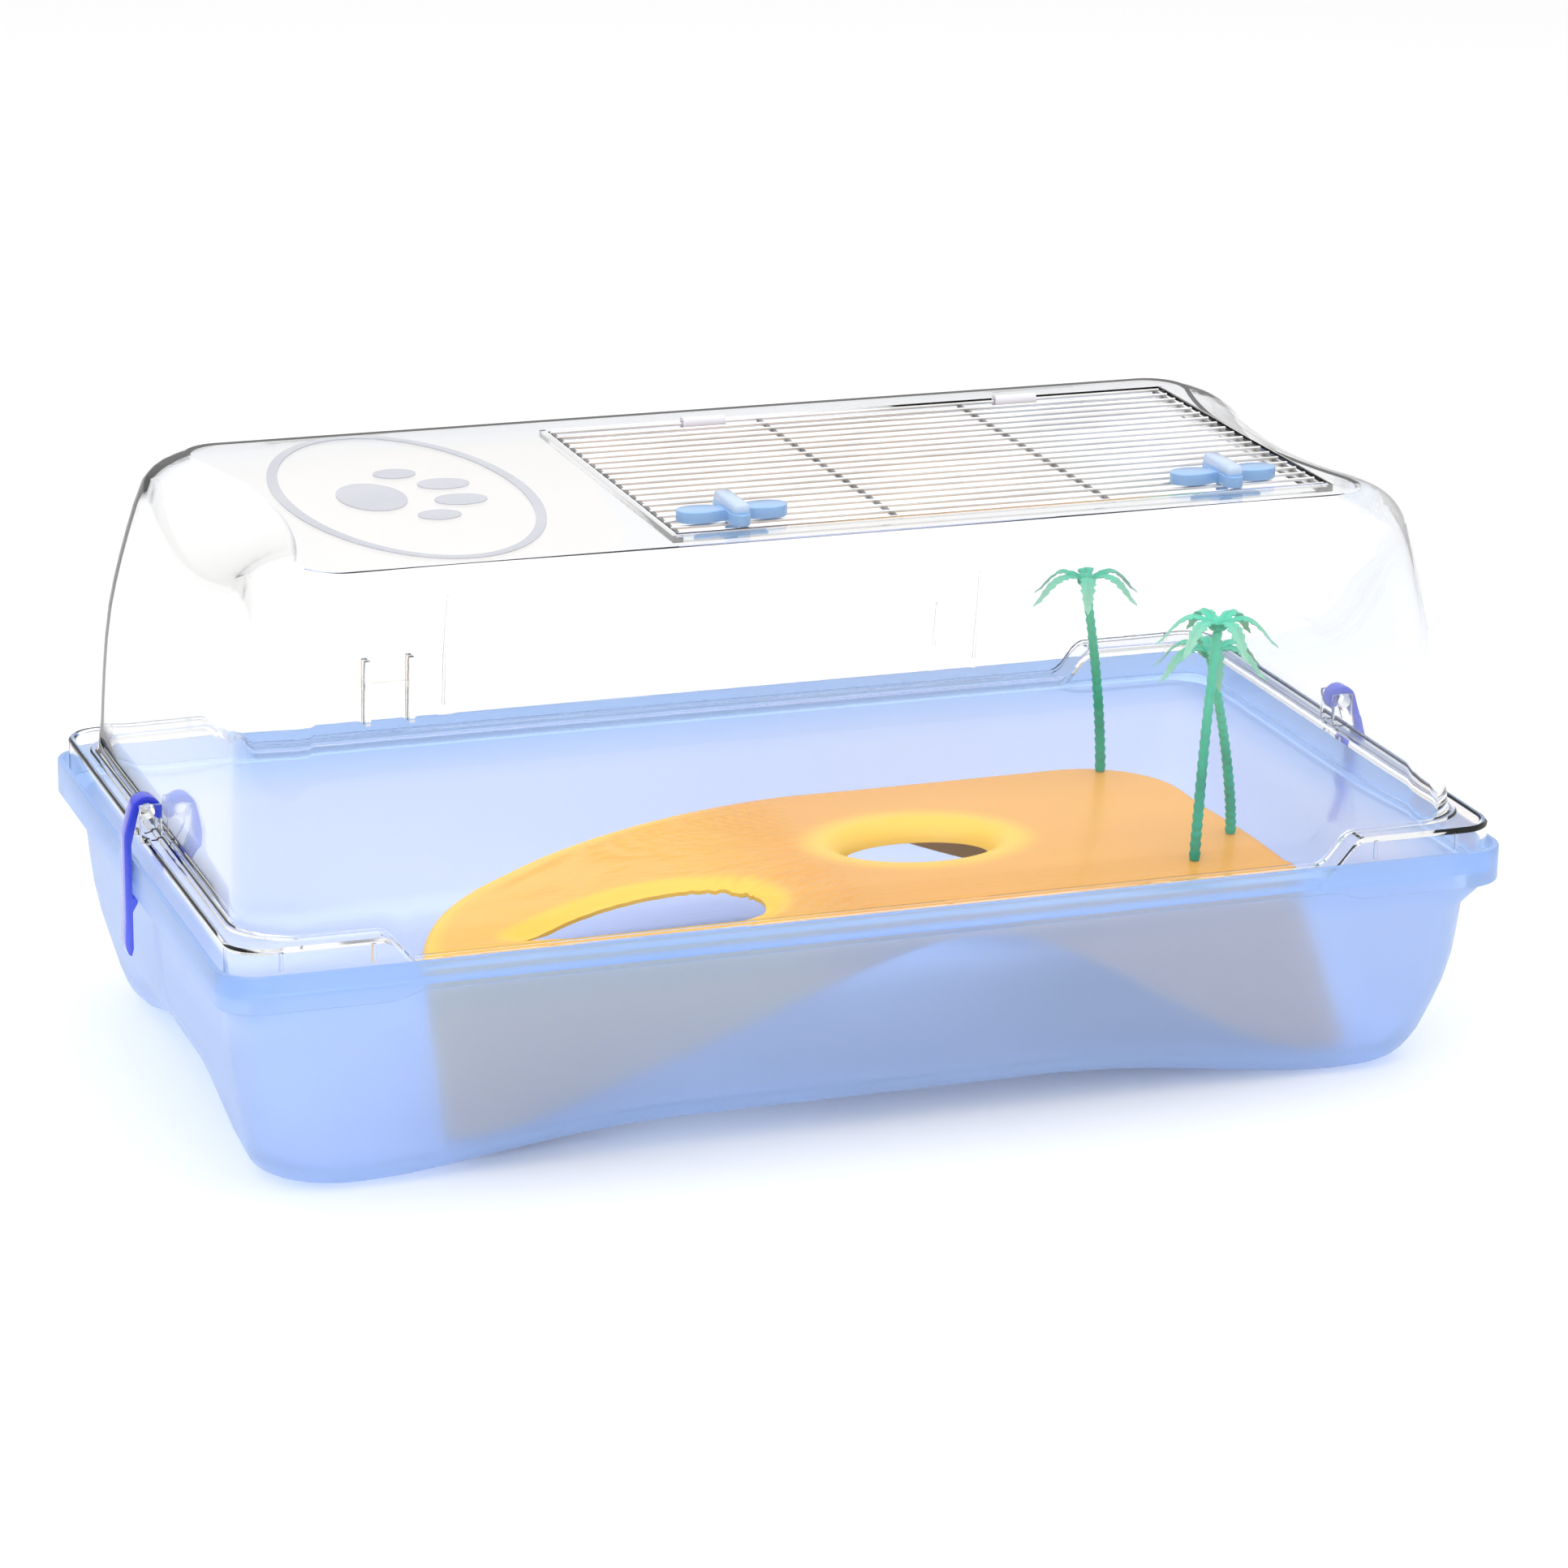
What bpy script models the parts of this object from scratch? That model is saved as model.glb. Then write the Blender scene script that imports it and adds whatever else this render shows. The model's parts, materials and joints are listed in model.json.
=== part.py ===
"""Small-animal cage: tray, clear hood, wire lid and a play island with palms.

Metres, +Z up.  The origin is on the ground under the middle of the rim.  The length runs
along X, the back is at +Y, and the wire lid hinges along its back wire.
"""
import math

import bmesh
import bpy
import numpy as np
from mathutils import Matrix, Vector

# ---- tray ------------------------------------------------------------------------------
RIM_LENGTH = 0.550
RIM_WIDTH = 0.312
RIM_TOP = 0.1012
RIM_CORNER_RADIUS = 0.016
RIM_ROUND = 0.0008              # rounding of the rim's top edge
BAND_HEIGHT = 0.0155            # outer apron of the rim, at the corners
BAND_STEP = 0.0036              # how much shallower the apron is along the long sides
BAND_UNDERCUT = 0.003           # flat underside of the apron, which the latches hook on
BAND_WALL = 0.0022
LEDGE_DEPTH = 0.0097            # from the rim's top down to the ledge that carries the hood
LEDGE_INSET = 0.0105            # inner edge of the ledge, in from the rim's outside
TRAY_WALL = 0.0025
SHOULDER_HEIGHT = 0.0735
SHOULDER_INSET = 0.0085
SHOULDER_THICKEN = 1.2          # wall at the shoulder, in walls
WAIST_HEIGHT = 0.045            # below this height the wall follows the arched floor
WAIST_INSET = 0.0115
HEEL_HEIGHT = 0.018
HEEL_INSET = 0.018
FOOT_INSET = 0.031
FOOT_CORNER_RADIUS = 0.030
# curve over a foot's edge: reach outwards, height, and the wall there across and up, in walls
FOOT_CURVE = ((0.0, 0.0, 1.6, 1.0), (0.006, 0.0030, 1.4, 0.88), (0.0105, 0.0095, 1.2, 0.4))
FOOT_SPAN_X = (0.29, 0.78)      # from the arch's top to a foot's flat, as shares of half the rim
FOOT_SPAN_Y = (0.19, 0.66)
FLOOR_SHARES = (0.3, 0.6, 0.93)     # rings of the floor inside the feet's edge
WALL_CORNER_RADIUS = 0.024
HEEL_RELAX = 0.003              # how much wider the corners are at the heel
INNER_TIGHTEN = 0.002           # how much tighter an inner corner is than the outer one
BAND_TIGHTEN = 0.001
ARCH_LONG = 0.012               # rise of the floor between the feet, along the long sides
ARCH_SHORT = 0.015              # and across the short sides
CORNER_LENGTH = 0.066           # raised corner block, from the rim's end
CORNER_RAMP = 0.016

# ---- hood ------------------------------------------------------------------------------
HOOD_TOP = 0.2461
HOOD_WALL = 0.002
HOOD_FIT = 0.0023               # flange to the inside of the rim's band
FLANGE_RAISE = 0.0091           # flange over the rim's top at the corners and the ends
FLANGE_STEP = 0.0133            # drop of the flange along the long sides
CREASE_INSET = (0.0473, 0.0496)     # edge of the flat top, in from the rim, along X and Y
CREASE_RADIUS = 0.016
WALL_INSETS = ((0.0, 0.0130, 0.0185), (0.35, 0.0150, 0.0230), (0.55, 0.0180, 0.0270),
               (0.85, 0.0270, 0.0360), (1.0, 0.0340, 0.0420))
BEVEL_LONG = 0.024              # depth of the bevel in the middle of the long sides
BEVEL_SHORT = 0.022
BEVEL_CORNER = 0.015
BEVEL_LEAST = 0.007
BEVEL_SCALLOP = 0.013           # how far the bevel bites into the flat top at the ends
BEVEL_SPAN_LONG = 0.83          # share of a long side's straight that the bevel spans
BEVEL_SPAN_SHORT = 1.02
BEVEL_CORNER_RAMP = 0.2
BEVEL_SWELL = 0.12
WALL_RINGS = (0.25, 0.55)       # where the wall bends, as shares of its height
ROOT_ROUND = ((0.0006, 0.0015), (0.0022, 0.0))      # wall's foot: reach outwards and height
FLANGE_ROUND = 0.001
RAILS_FROM_LEFT = 0.136         # bottle rails: first rail, in from the rim's left end
RAIL_SPACING = 0.020
RAIL_THICKNESS = 0.0022
RAIL_RISE = (0.010, 0.040)      # over the low flange
RAIL_REACH = (0.0030, 0.0055)   # inside and outside of the wall

# ---- wire lid --------------------------------------------------------------------------
GRILLE_LENGTH = 0.280
LID_END_MARGIN = 0.0155         # lid's right end, in from the edge of the hood's flat top
LID_SIDE_MARGIN = 0.0204        # lid's front and back wires, in from the same edge
WIRE_SPACING = 0.009            # nearest the wires come to it, in whole gaps
WIRE_RADIUS = 0.00075
ROD_COUNT = 4
ROD_RADIUS = 0.0010
WELD_SINK = 0.0005              # how deep a wire is melted into a rod
WIRE_OVERHANG = 0.0016
SEAT_WIDTH = 0.0042             # ledge of the opening under the lid's edge
SEAT_FIT = 0.0012
HINGE_FIT = 0.0034              # recess behind the hinge wire
FRAME_WALL = 0.002
CUT_OVER = 0.01                 # how far a cutter stands over the hood's top
OPENING_DEPTH = 0.02

# ---- small parts -----------------------------------------------------------------------
GAP = 0.0003
CLIP_SPREAD = 0.145
CLIP_LENGTH = 0.019
CLIP_WALL = 0.0016
CLIP_ARC = [math.radians(60 + 25 * k) for k in range(7)]     # round the wire, over its top
KNOB_FROM_ENDS = (0.0258, 0.0382)   # left knob and right knob, in from the lid's ends
KNOB_BAY = 1.5                  # knob's shaft, in wire pitches from the front wire
KNOB_WING = 0.0235
KNOB_WAIST = 0.0060
KNOB_LOBE = 0.0155
KNOB_FLARE = 0.25               # how much wider the wings' ends are
KNOB_THICKNESS = 0.0048
KNOB_EDGE = ((0.0, 1.0), (0.7, 1.0), (1.0, 0.93))   # share of the thickness, and scale there
KNOB_RIDGE = 0.0042
KNOB_RIDGE_WIDTH = 0.0076
KNOB_RIDGE_LENGTH = 0.96        # of the lobes' span
KNOB_RIDGE_TAPER = (0.75, 0.72)
KNOB_POINTS = 40
SHAFT_RADIUS = 0.0026
TONGUE_LENGTH = 0.0310
TONGUE_WIDTH = 0.0085
TONGUE_THICKNESS = 0.0026
LATCH_WIDTH = 0.0080
LATCH_THICKNESS = 0.0030
LATCH_BAR_RADIUS = 0.0030
LATCH_BAR_INSET = 0.0060        # bar's axis, in from the rim's outside
LATCH_BAR_HEIGHT = 0.0119       # bar's axis, over the raised flange
LATCH_DROP = 0.0255             # finger tab, below the band
LATCH_CURL = [math.radians(-38 + 22 * k) for k in range(11)]    # round the bar, over its top
LATCH_THROAT = (0.012, 0.014)   # shank's top, below the bar's axis, outside and inside
LATCH_HOOK = (0.0022, 0.006, 0.009)     # below the nose's top: its edge, its root, the shank
LATCH_TAB = (0.0010, 0.0030, 0.0060)    # tab's rounding, over its lower end
LATCH_TAB_SWELL = 0.0004
LATCH_TAB_EDGE = 0.0008
LATCH_NOSE = 0.0015             # reach of the hook under the band
CHEEK_WALL = 0.0025
CHEEK_REACH = (0.0058, 0.0036)  # inwards and outwards from the bar's axis
CHEEK_OVER = 0.0034             # over the bar's axis
LATCH_SIDE_FIT = 0.0006
LATCH_FACE_FIT = 0.0006         # shank to the band's outside
LATCH_NOSE_FIT = 0.0005         # nose to the band's underside

# ---- island ----------------------------------------------------------------------------
DECK_HEIGHT = 0.085
ISLAND_WALL = 0.002
ISLAND_LEFT_CLEAR = 0.089       # island, in from the rim's outside, at the left, right, front
ISLAND_RIGHT_CLEAR = 0.077
ISLAND_FRONT_CLEAR = 0.028
ISLAND_DEPTH = 0.178
ISLAND_ARM = 0.216              # length of the curved arm
ISLAND_ARM_POWER = 1.7
ISLAND_FLARE = 0.030
ISLAND_FLARE_LEFT = 0.012
ISLAND_FLARE_FRONT = 0.012
ISLAND_FLARE_BACK = 0.016
ISLAND_CORNERS = (0.012, 0.020, 0.042)      # front left, front right and back right
ISLAND_EDGE = 0.0040            # height of the deck's rounded edge
DECK_ROUND = ((0.0020, 0.0010), (0.0060, 0.0))      # deck's edge: inwards and down
# each foot's direction from the oval, and the height of the arch that follows it
ISLAND_FEET = ((-160.0, 0.066), (-36.0, 0.036), (31.0, 0.060))
FOOT_SHARE = 0.12               # share of an arch's rise that its feet stand flat on
ISLAND_POINTS = 60
FOOT_CLEAR = 0.0012             # under the skirt's feet, which the tray's faceting needs
OVAL_LIP = 0.013
OVAL_FROM_RIGHT = 0.139
OVAL_FROM_FRONT = 0.100
OVAL_RADII = (0.0320, 0.0235)
OVAL_DIP = 0.010
OVAL_ROUND = ((0.007, 0.0016), (0.002, 0.006))      # lip: out from the oval, and down
DROP_LENGTH = 0.112
DROP_WIDTH = 0.034
DROP_FROM_LEFT = 0.102
DROP_FROM_FRONT = 0.040
DROP_TILT = math.radians(12)
DROP_POINTS = 28
DROP_DEPTH = (0.012, 0.018)     # its cutter, under and over the deck
# palm: name, in from the deck's right end and front, height, lean of the crown, first frond
PALMS = (("back", 0.0260, 0.1685, 0.091, -0.010, 10),
         ("front", 0.0390, 0.0350, 0.106, 0.006, 35),
         ("side", 0.0095, 0.0640, 0.085, -0.013, 15))
TRUNK_RADIUS = 0.0024
TRUNK_RINGS = 11
TRUNK_RING_SCALE = (0.88, 1.12)     # waist and swelling of a ring
TRUNK_TAPER = 0.18
TRUNK_INTO_CROWN = 0.004        # trunk's top, below the palm's height
HUB = ((0.0022, 0.0), (0.0040, 0.0015), (0.0036, 0.0042), (0.0014, 0.0058))  # radius, height
FROND_COUNT = 6
FROND_LENGTH = 0.027
FROND_WIDTH = 0.0062
FROND_DROOP = 0.010
FROND_ROOT = (0.0022, 0.0031)   # its start, out from the hub's axis and up
FROND_STAGGER = 0.0001          # each frond is this much higher than the one before
FROND_ARCH = 0.0042
FROND_SAG = 0.0008              # edges under the midrib
FROND_WALL = (0.00055, 0.0002)  # thickness at the root, and how much the tip loses

ARC_STEPS = 4


def clear_scene():
    """Remove whatever the file opened with."""
    for obj in list(bpy.data.objects):
        bpy.data.objects.remove(obj, do_unlink=True)


def finish_of(name, colour, roughness, metallic=0.0, transmission=0.0):
    """A plain material of one colour."""
    mat = bpy.data.materials.new(name)
    mat.use_nodes = True
    shader = mat.node_tree.nodes["Principled BSDF"]
    shader.inputs["Base Color"].default_value = (*colour, 1.0)
    shader.inputs["Roughness"].default_value = roughness
    shader.inputs["Metallic"].default_value = metallic
    shader.inputs["Transmission Weight"].default_value = transmission
    mat.diffuse_color = (*colour, 1.0)
    return mat


def place(name, bm, mat, smooth_below=None):
    """Turn a bmesh into a named object, shaded smooth where its faces meet gently."""
    bmesh.ops.recalc_face_normals(bm, faces=bm.faces)
    mesh = bpy.data.meshes.new(name)
    bm.to_mesh(mesh)
    bm.free()
    if mat is not None:
        mesh.materials.append(mat)
    if smooth_below is not None:
        mesh.shade_smooth()
        mesh.set_sharp_from_angle(angle=math.radians(smooth_below))
    obj = bpy.data.objects.new(name, mesh)
    bpy.context.scene.collection.objects.link(obj)
    return obj


def pivot(obj, point):
    """Move an object's origin to a point and leave its shape where it is."""
    obj.data.transform(Matrix.Translation(-Vector(point)))
    obj.location = point


def combine(target, tool, operation):
    """Join a tool to a target, or cut it away, and hide the tool."""
    tool.hide_render = True
    tool.display_type = "WIRE"
    boolean = target.modifiers.new(tool.name, "BOOLEAN")
    boolean.operation = operation
    boolean.object = tool
    boolean.solver = "EXACT"


def add_box(bm, low, high):
    """Add a closed box between two corners."""
    low, high = Vector(low), Vector(high)
    made = bmesh.ops.create_cube(bm, size=1.0)["verts"]
    bmesh.ops.scale(bm, vec=high - low, verts=made)
    bmesh.ops.translate(bm, vec=(low + high) / 2, verts=made)
    return made


def add_cylinder(bm, start, end, radius, sides):
    """Add a closed cylinder from one point to another."""
    start, end = Vector(start), Vector(end)
    along = end - start
    made = bmesh.ops.create_cone(bm, cap_ends=True, segments=sides, radius1=radius,
                                 radius2=radius, depth=along.length)["verts"]
    turn = Vector((0, 0, 1)).rotation_difference(along).to_matrix()
    bmesh.ops.rotate(bm, cent=(0, 0, 0), matrix=turn, verts=made)
    bmesh.ops.translate(bm, vec=(start + end) / 2, verts=made)
    return made


def skin(bm, rings, cap_start=True, cap_end=True):
    """Join rings of equally many points with quads, and close the ends."""
    made = [[bm.verts.new(point) for point in ring] for ring in rings]
    for lower, upper in zip(made, made[1:]):
        for i in range(len(lower)):
            j = (i + 1) % len(lower)
            bm.faces.new((lower[i], lower[j], upper[j], upper[i]))
    if cap_start:
        bm.faces.new(list(reversed(made[0])))
    if cap_end:
        bm.faces.new(made[-1])


def extrude_outline(bm, outline, offset):
    """Close an outline with a face and extrude it by an offset."""
    face = bm.faces.new([bm.verts.new(point) for point in outline])
    sides = bmesh.ops.extrude_face_region(bm, geom=[face])["geom"]
    moved = [item for item in sides if isinstance(item, bmesh.types.BMVert)]
    bmesh.ops.translate(bm, vec=offset, verts=moved)


def smooth_step(value, low, high):
    """0 below low, 1 above high, and a smooth rise between them."""
    t = min(max((value - low) / (high - low), 0.0), 1.0)
    return t * t * (3 - 2 * t)


def mirrored(values):
    """The values and their negatives, from the lowest up."""
    return sorted({-v for v in values} | set(values))


# ---- plan of the rim: both shells are skinned on the same rounded rectangles -------------
STEP_OUT = RIM_LENGTH / 2 - CORNER_LENGTH
STEP_IN = STEP_OUT - CORNER_RAMP
LONG_STATIONS = mirrored([STEP_IN * f for f in (0.0, 0.23, 0.46, 0.72, 1.0)] + [STEP_OUT])
SHORT_STATIONS = mirrored([(RIM_WIDTH / 2 - CREASE_INSET[1]) * f for f in (0.0, 0.40, 0.78)])


def rounded_plan(half_x, half_y, radius):
    """Points and outward normals round a rounded rectangle, from the front's left end."""
    fit_x = min(1.0, (half_x - radius) / (1.02 * LONG_STATIONS[-1]))
    fit_y = min(1.0, (half_y - radius) / (1.02 * SHORT_STATIONS[-1]))
    along = [x * fit_x for x in LONG_STATIONS]
    across = [y * fit_y for y in SHORT_STATIONS]
    plan = []
    for turn in range(4):
        angle = turn * math.pi / 2 - math.pi / 2
        normal = (math.cos(angle), math.sin(angle))
        if turn % 2 == 0:
            sign = 1 if turn == 0 else -1
            plan += [((sign * x, -sign * half_y), normal) for x in along]
        else:
            sign = 1 if turn == 1 else -1
            plan += [((sign * half_x, sign * y), normal) for y in across]
        corner_x = (half_x - radius) * (1 if turn in (0, 1) else -1)
        corner_y = (half_y - radius) * (1 if turn in (1, 2) else -1)
        for step in range(ARC_STEPS + 1):
            a = angle + step * (math.pi / 2) / ARC_STEPS
            n = (math.cos(a), math.sin(a))
            plan.append(((corner_x + radius * n[0], corner_y + radius * n[1]), n))
    return plan


def rim_plan(inset_x, inset_y, radius):
    """The plan at an inset from the rim's outside."""
    return rounded_plan(RIM_LENGTH / 2 - inset_x, RIM_WIDTH / 2 - inset_y, radius)


def raised_part(x, y):
    """1 at the corners and the ends, 0 along the middle of the long sides."""
    if abs(y) < SHORT_STATIONS[-1]:
        return 1.0
    return min(max((abs(x) - STEP_IN) / (STEP_OUT - STEP_IN), 0.0), 1.0)


# ---- tray --------------------------------------------------------------------------------
def floor_rise(x, y):
    """How far the floor is arched up over the four corner feet."""
    foot_x = smooth_step(abs(x), *(share * RIM_LENGTH / 2 for share in FOOT_SPAN_X))
    foot_y = smooth_step(abs(y), *(share * RIM_WIDTH / 2 for share in FOOT_SPAN_Y))
    rise = ARCH_LONG + (ARCH_SHORT - ARCH_LONG) * foot_x
    return rise * (1 - foot_x * foot_y)


def tray_ring(inset, height, radius, inner_lift=0.0, shrink=1.0):
    """One ring of the tray; low rings follow the arched floor."""
    half_x = (RIM_LENGTH / 2 - inset) * shrink
    half_y = (RIM_WIDTH / 2 - inset) * shrink
    follow = 1 - smooth_step(height, 0.0, WAIST_HEIGHT)
    ring = []
    for (x, y), _ in rounded_plan(half_x, half_y, radius * shrink):
        ring.append((x, y, height + inner_lift + floor_rise(x, y) * follow))
    return ring


def make_tray(mat):
    """The tub with its rim band, its ledge and its arched floor."""
    band_low = RIM_TOP - BAND_HEIGHT
    ledge = RIM_TOP - LEDGE_DEPTH
    inner_radius = WALL_CORNER_RADIUS - INNER_TIGHTEN
    band_radius = RIM_CORNER_RADIUS - BAND_TIGHTEN
    rings = [tray_ring(FOOT_INSET, 0.0, FOOT_CORNER_RADIUS, shrink=s) for s in FLOOR_SHARES]
    rings += [tray_ring(FOOT_INSET - reach, height, FOOT_CORNER_RADIUS)
              for reach, height, _, _ in FOOT_CURVE]
    rings += [
        tray_ring(HEEL_INSET, HEEL_HEIGHT, WALL_CORNER_RADIUS + HEEL_RELAX),
        tray_ring(WAIST_INSET, WAIST_HEIGHT, WALL_CORNER_RADIUS),
        tray_ring(SHOULDER_INSET, SHOULDER_HEIGHT, WALL_CORNER_RADIUS),
    ]
    for inset in (BAND_UNDERCUT, 0.0):
        rings.append([(x, y, band_low + BAND_STEP * (1 - raised_part(x, y)))
                      for (x, y), _ in rim_plan(inset, inset, RIM_CORNER_RADIUS)])
    rings += [
        tray_ring(0.0, RIM_TOP - RIM_ROUND, RIM_CORNER_RADIUS),
        tray_ring(RIM_ROUND, RIM_TOP, RIM_CORNER_RADIUS),
        tray_ring(BAND_WALL, RIM_TOP, band_radius),
        tray_ring(BAND_WALL, ledge, band_radius),
        tray_ring(LEDGE_INSET, ledge, inner_radius),
        tray_ring(SHOULDER_INSET + SHOULDER_THICKEN * TRAY_WALL, SHOULDER_HEIGHT, inner_radius),
        tray_ring(WAIST_INSET + TRAY_WALL, WAIST_HEIGHT, inner_radius),
        tray_ring(HEEL_INSET + TRAY_WALL, HEEL_HEIGHT, WALL_CORNER_RADIUS),
    ]
    rings += [tray_ring(FOOT_INSET - reach + across * TRAY_WALL, height,
                        FOOT_CORNER_RADIUS - INNER_TIGHTEN, up * TRAY_WALL)
              for reach, height, across, up in reversed(FOOT_CURVE)]
    floor_inset = FOOT_INSET + FOOT_CURVE[0][2] * TRAY_WALL
    rings += [tray_ring(floor_inset, 0.0, FOOT_CORNER_RADIUS, TRAY_WALL, s)
              for s in reversed(FLOOR_SHARES)]
    bm = bmesh.new()
    skin(bm, rings)
    return place("tray", bm, mat, 35)


# ---- hood --------------------------------------------------------------------------------
FLANGE_INSET = BAND_WALL + HOOD_FIT
FLANGE_HIGH = RIM_TOP + FLANGE_RAISE
FLANGE_LOW = FLANGE_HIGH - FLANGE_STEP
SKIRT_FOOT = RIM_TOP - LEDGE_DEPTH + GAP


def bevel_depth(x, y):
    """Depth of the bevel under the flat top: widest in the middle of each side."""
    on_long_side = abs(y) > RIM_WIDTH / 2 - CREASE_INSET[1] - 0.001
    if on_long_side:
        reach, deepest = LONG_STATIONS[-1] * BEVEL_SPAN_LONG, BEVEL_LONG
        u = abs(x) / reach
    else:
        reach, deepest = SHORT_STATIONS[-1] * BEVEL_SPAN_SHORT, BEVEL_SHORT
        u = abs(y) / reach
    if u < 1:
        return max(deepest * (1 - u * u) ** 0.8, BEVEL_LEAST)
    return BEVEL_LEAST + (BEVEL_CORNER - BEVEL_LEAST) * min((u - 1) / BEVEL_CORNER_RAMP, 1.0)


def wall_inset(fraction, axis):
    """Inset of the hood's wall at a fraction of its height."""
    return float(np.interp(fraction, [row[0] for row in WALL_INSETS],
                           [row[1 + axis] for row in WALL_INSETS]))


def wall_ring(fraction, thickness, radius):
    """One level ring of the hood's wall."""
    height = FLANGE_HIGH + (HOOD_TOP - FLANGE_HIGH) * fraction
    plan = rim_plan(wall_inset(fraction, 0) + thickness, wall_inset(fraction, 1) + thickness,
                    radius)
    return [(x, y, height) for (x, y), _ in plan]


def crease_plan(thickness):
    """Edge of the flat top, with the bites that the end bevels take out of it."""
    plan = rim_plan(CREASE_INSET[0] + thickness, CREASE_INSET[1] + thickness, CREASE_RADIUS)
    bitten = []
    for (x, y), normal in plan:
        u = abs(y) / (SHORT_STATIONS[-1] * BEVEL_SPAN_SHORT)
        if abs(normal[0]) > 0.99 and u < 1:
            x -= math.copysign(BEVEL_SCALLOP * (1 - u * u), x)
        bitten.append(((x, y), normal))
    return bitten


def bevel_ring(share, thickness):
    """A ring of the bevel: share 0 is its lower edge on the wall, 1 is the top's edge."""
    fine = rim_plan(CREASE_INSET[0], CREASE_INSET[1], CREASE_RADIUS)
    top = crease_plan(thickness)
    ring = []
    for ((x0, y0), _), ((x1, y1), _) in zip(fine, top):
        depth = bevel_depth(x0, y0)
        fraction = 1 - depth / (HOOD_TOP - FLANGE_HIGH)
        plan = rim_plan(wall_inset(fraction, 0) + thickness,
                        wall_inset(fraction, 1) + thickness, WALL_CORNER_RADIUS)
        (xw, yw), _ = plan[len(ring)]
        swell = BEVEL_SWELL * math.sin(math.pi * share)
        x = xw + (x1 - xw) * (share - swell)
        y = yw + (y1 - yw) * (share - swell)
        z = HOOD_TOP - thickness - (depth - thickness * 0.4) * (1 - share - swell)
        ring.append((x, y, z))
    return ring


def flange_ring(inset, below, radius):
    """A ring of the flange, raised round the corners and the ends."""
    ring = []
    for (x, y), _ in rim_plan(inset, inset, radius):
        height = FLANGE_LOW + FLANGE_STEP * raised_part(x, y)
        ring.append((x, y, height - below))
    return ring


def foot_ring(thickness, below):
    """Foot of the wall, where it springs from the flange."""
    ring = []
    for (x, y), _ in rim_plan(WALL_INSETS[0][1] + thickness, WALL_INSETS[0][2] + thickness,
                              WALL_CORNER_RADIUS):
        height = FLANGE_LOW + FLANGE_STEP * raised_part(x, y)
        ring.append((x, y, height - below))
    return ring


def hood_shell(mat):
    """The moulded shell of the hood, before its opening is cut."""
    skirt_radius = RIM_CORNER_RADIUS - INNER_TIGHTEN
    inner_radius = WALL_CORNER_RADIUS - INNER_TIGHTEN
    outside = [
        bevel_ring(1.0, 0.0), bevel_ring(0.5, 0.0), bevel_ring(0.0, 0.0),
        wall_ring(WALL_RINGS[1], 0.0, WALL_CORNER_RADIUS),
        wall_ring(WALL_RINGS[0], 0.0, WALL_CORNER_RADIUS),
    ]
    outside += [foot_ring(-reach, -height) for reach, height in ROOT_ROUND]
    outside += [
        flange_ring(FLANGE_INSET + FLANGE_ROUND, 0.0, skirt_radius),
        flange_ring(FLANGE_INSET, FLANGE_ROUND, skirt_radius),
    ]
    skirt = rim_plan(FLANGE_INSET, FLANGE_INSET, skirt_radius)
    skirt_inside = rim_plan(FLANGE_INSET + HOOD_WALL, FLANGE_INSET + HOOD_WALL,
                            skirt_radius - BAND_TIGHTEN)
    under = [
        [(x, y, SKIRT_FOOT) for (x, y), _ in skirt],
        [(x, y, SKIRT_FOOT) for (x, y), _ in skirt_inside],
        flange_ring(FLANGE_INSET + HOOD_WALL, HOOD_WALL, skirt_radius - BAND_TIGHTEN),
        foot_ring(HOOD_WALL - ROOT_ROUND[0][0], HOOD_WALL),
        wall_ring(WALL_RINGS[0], HOOD_WALL, inner_radius),
        wall_ring(WALL_RINGS[1], HOOD_WALL, inner_radius),
        bevel_ring(0.0, HOOD_WALL), bevel_ring(0.5, HOOD_WALL), bevel_ring(1.0, HOOD_WALL),
    ]
    bm = bmesh.new()
    skin(bm, outside + under)
    return place("hood", bm, mat, 30)


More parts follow.
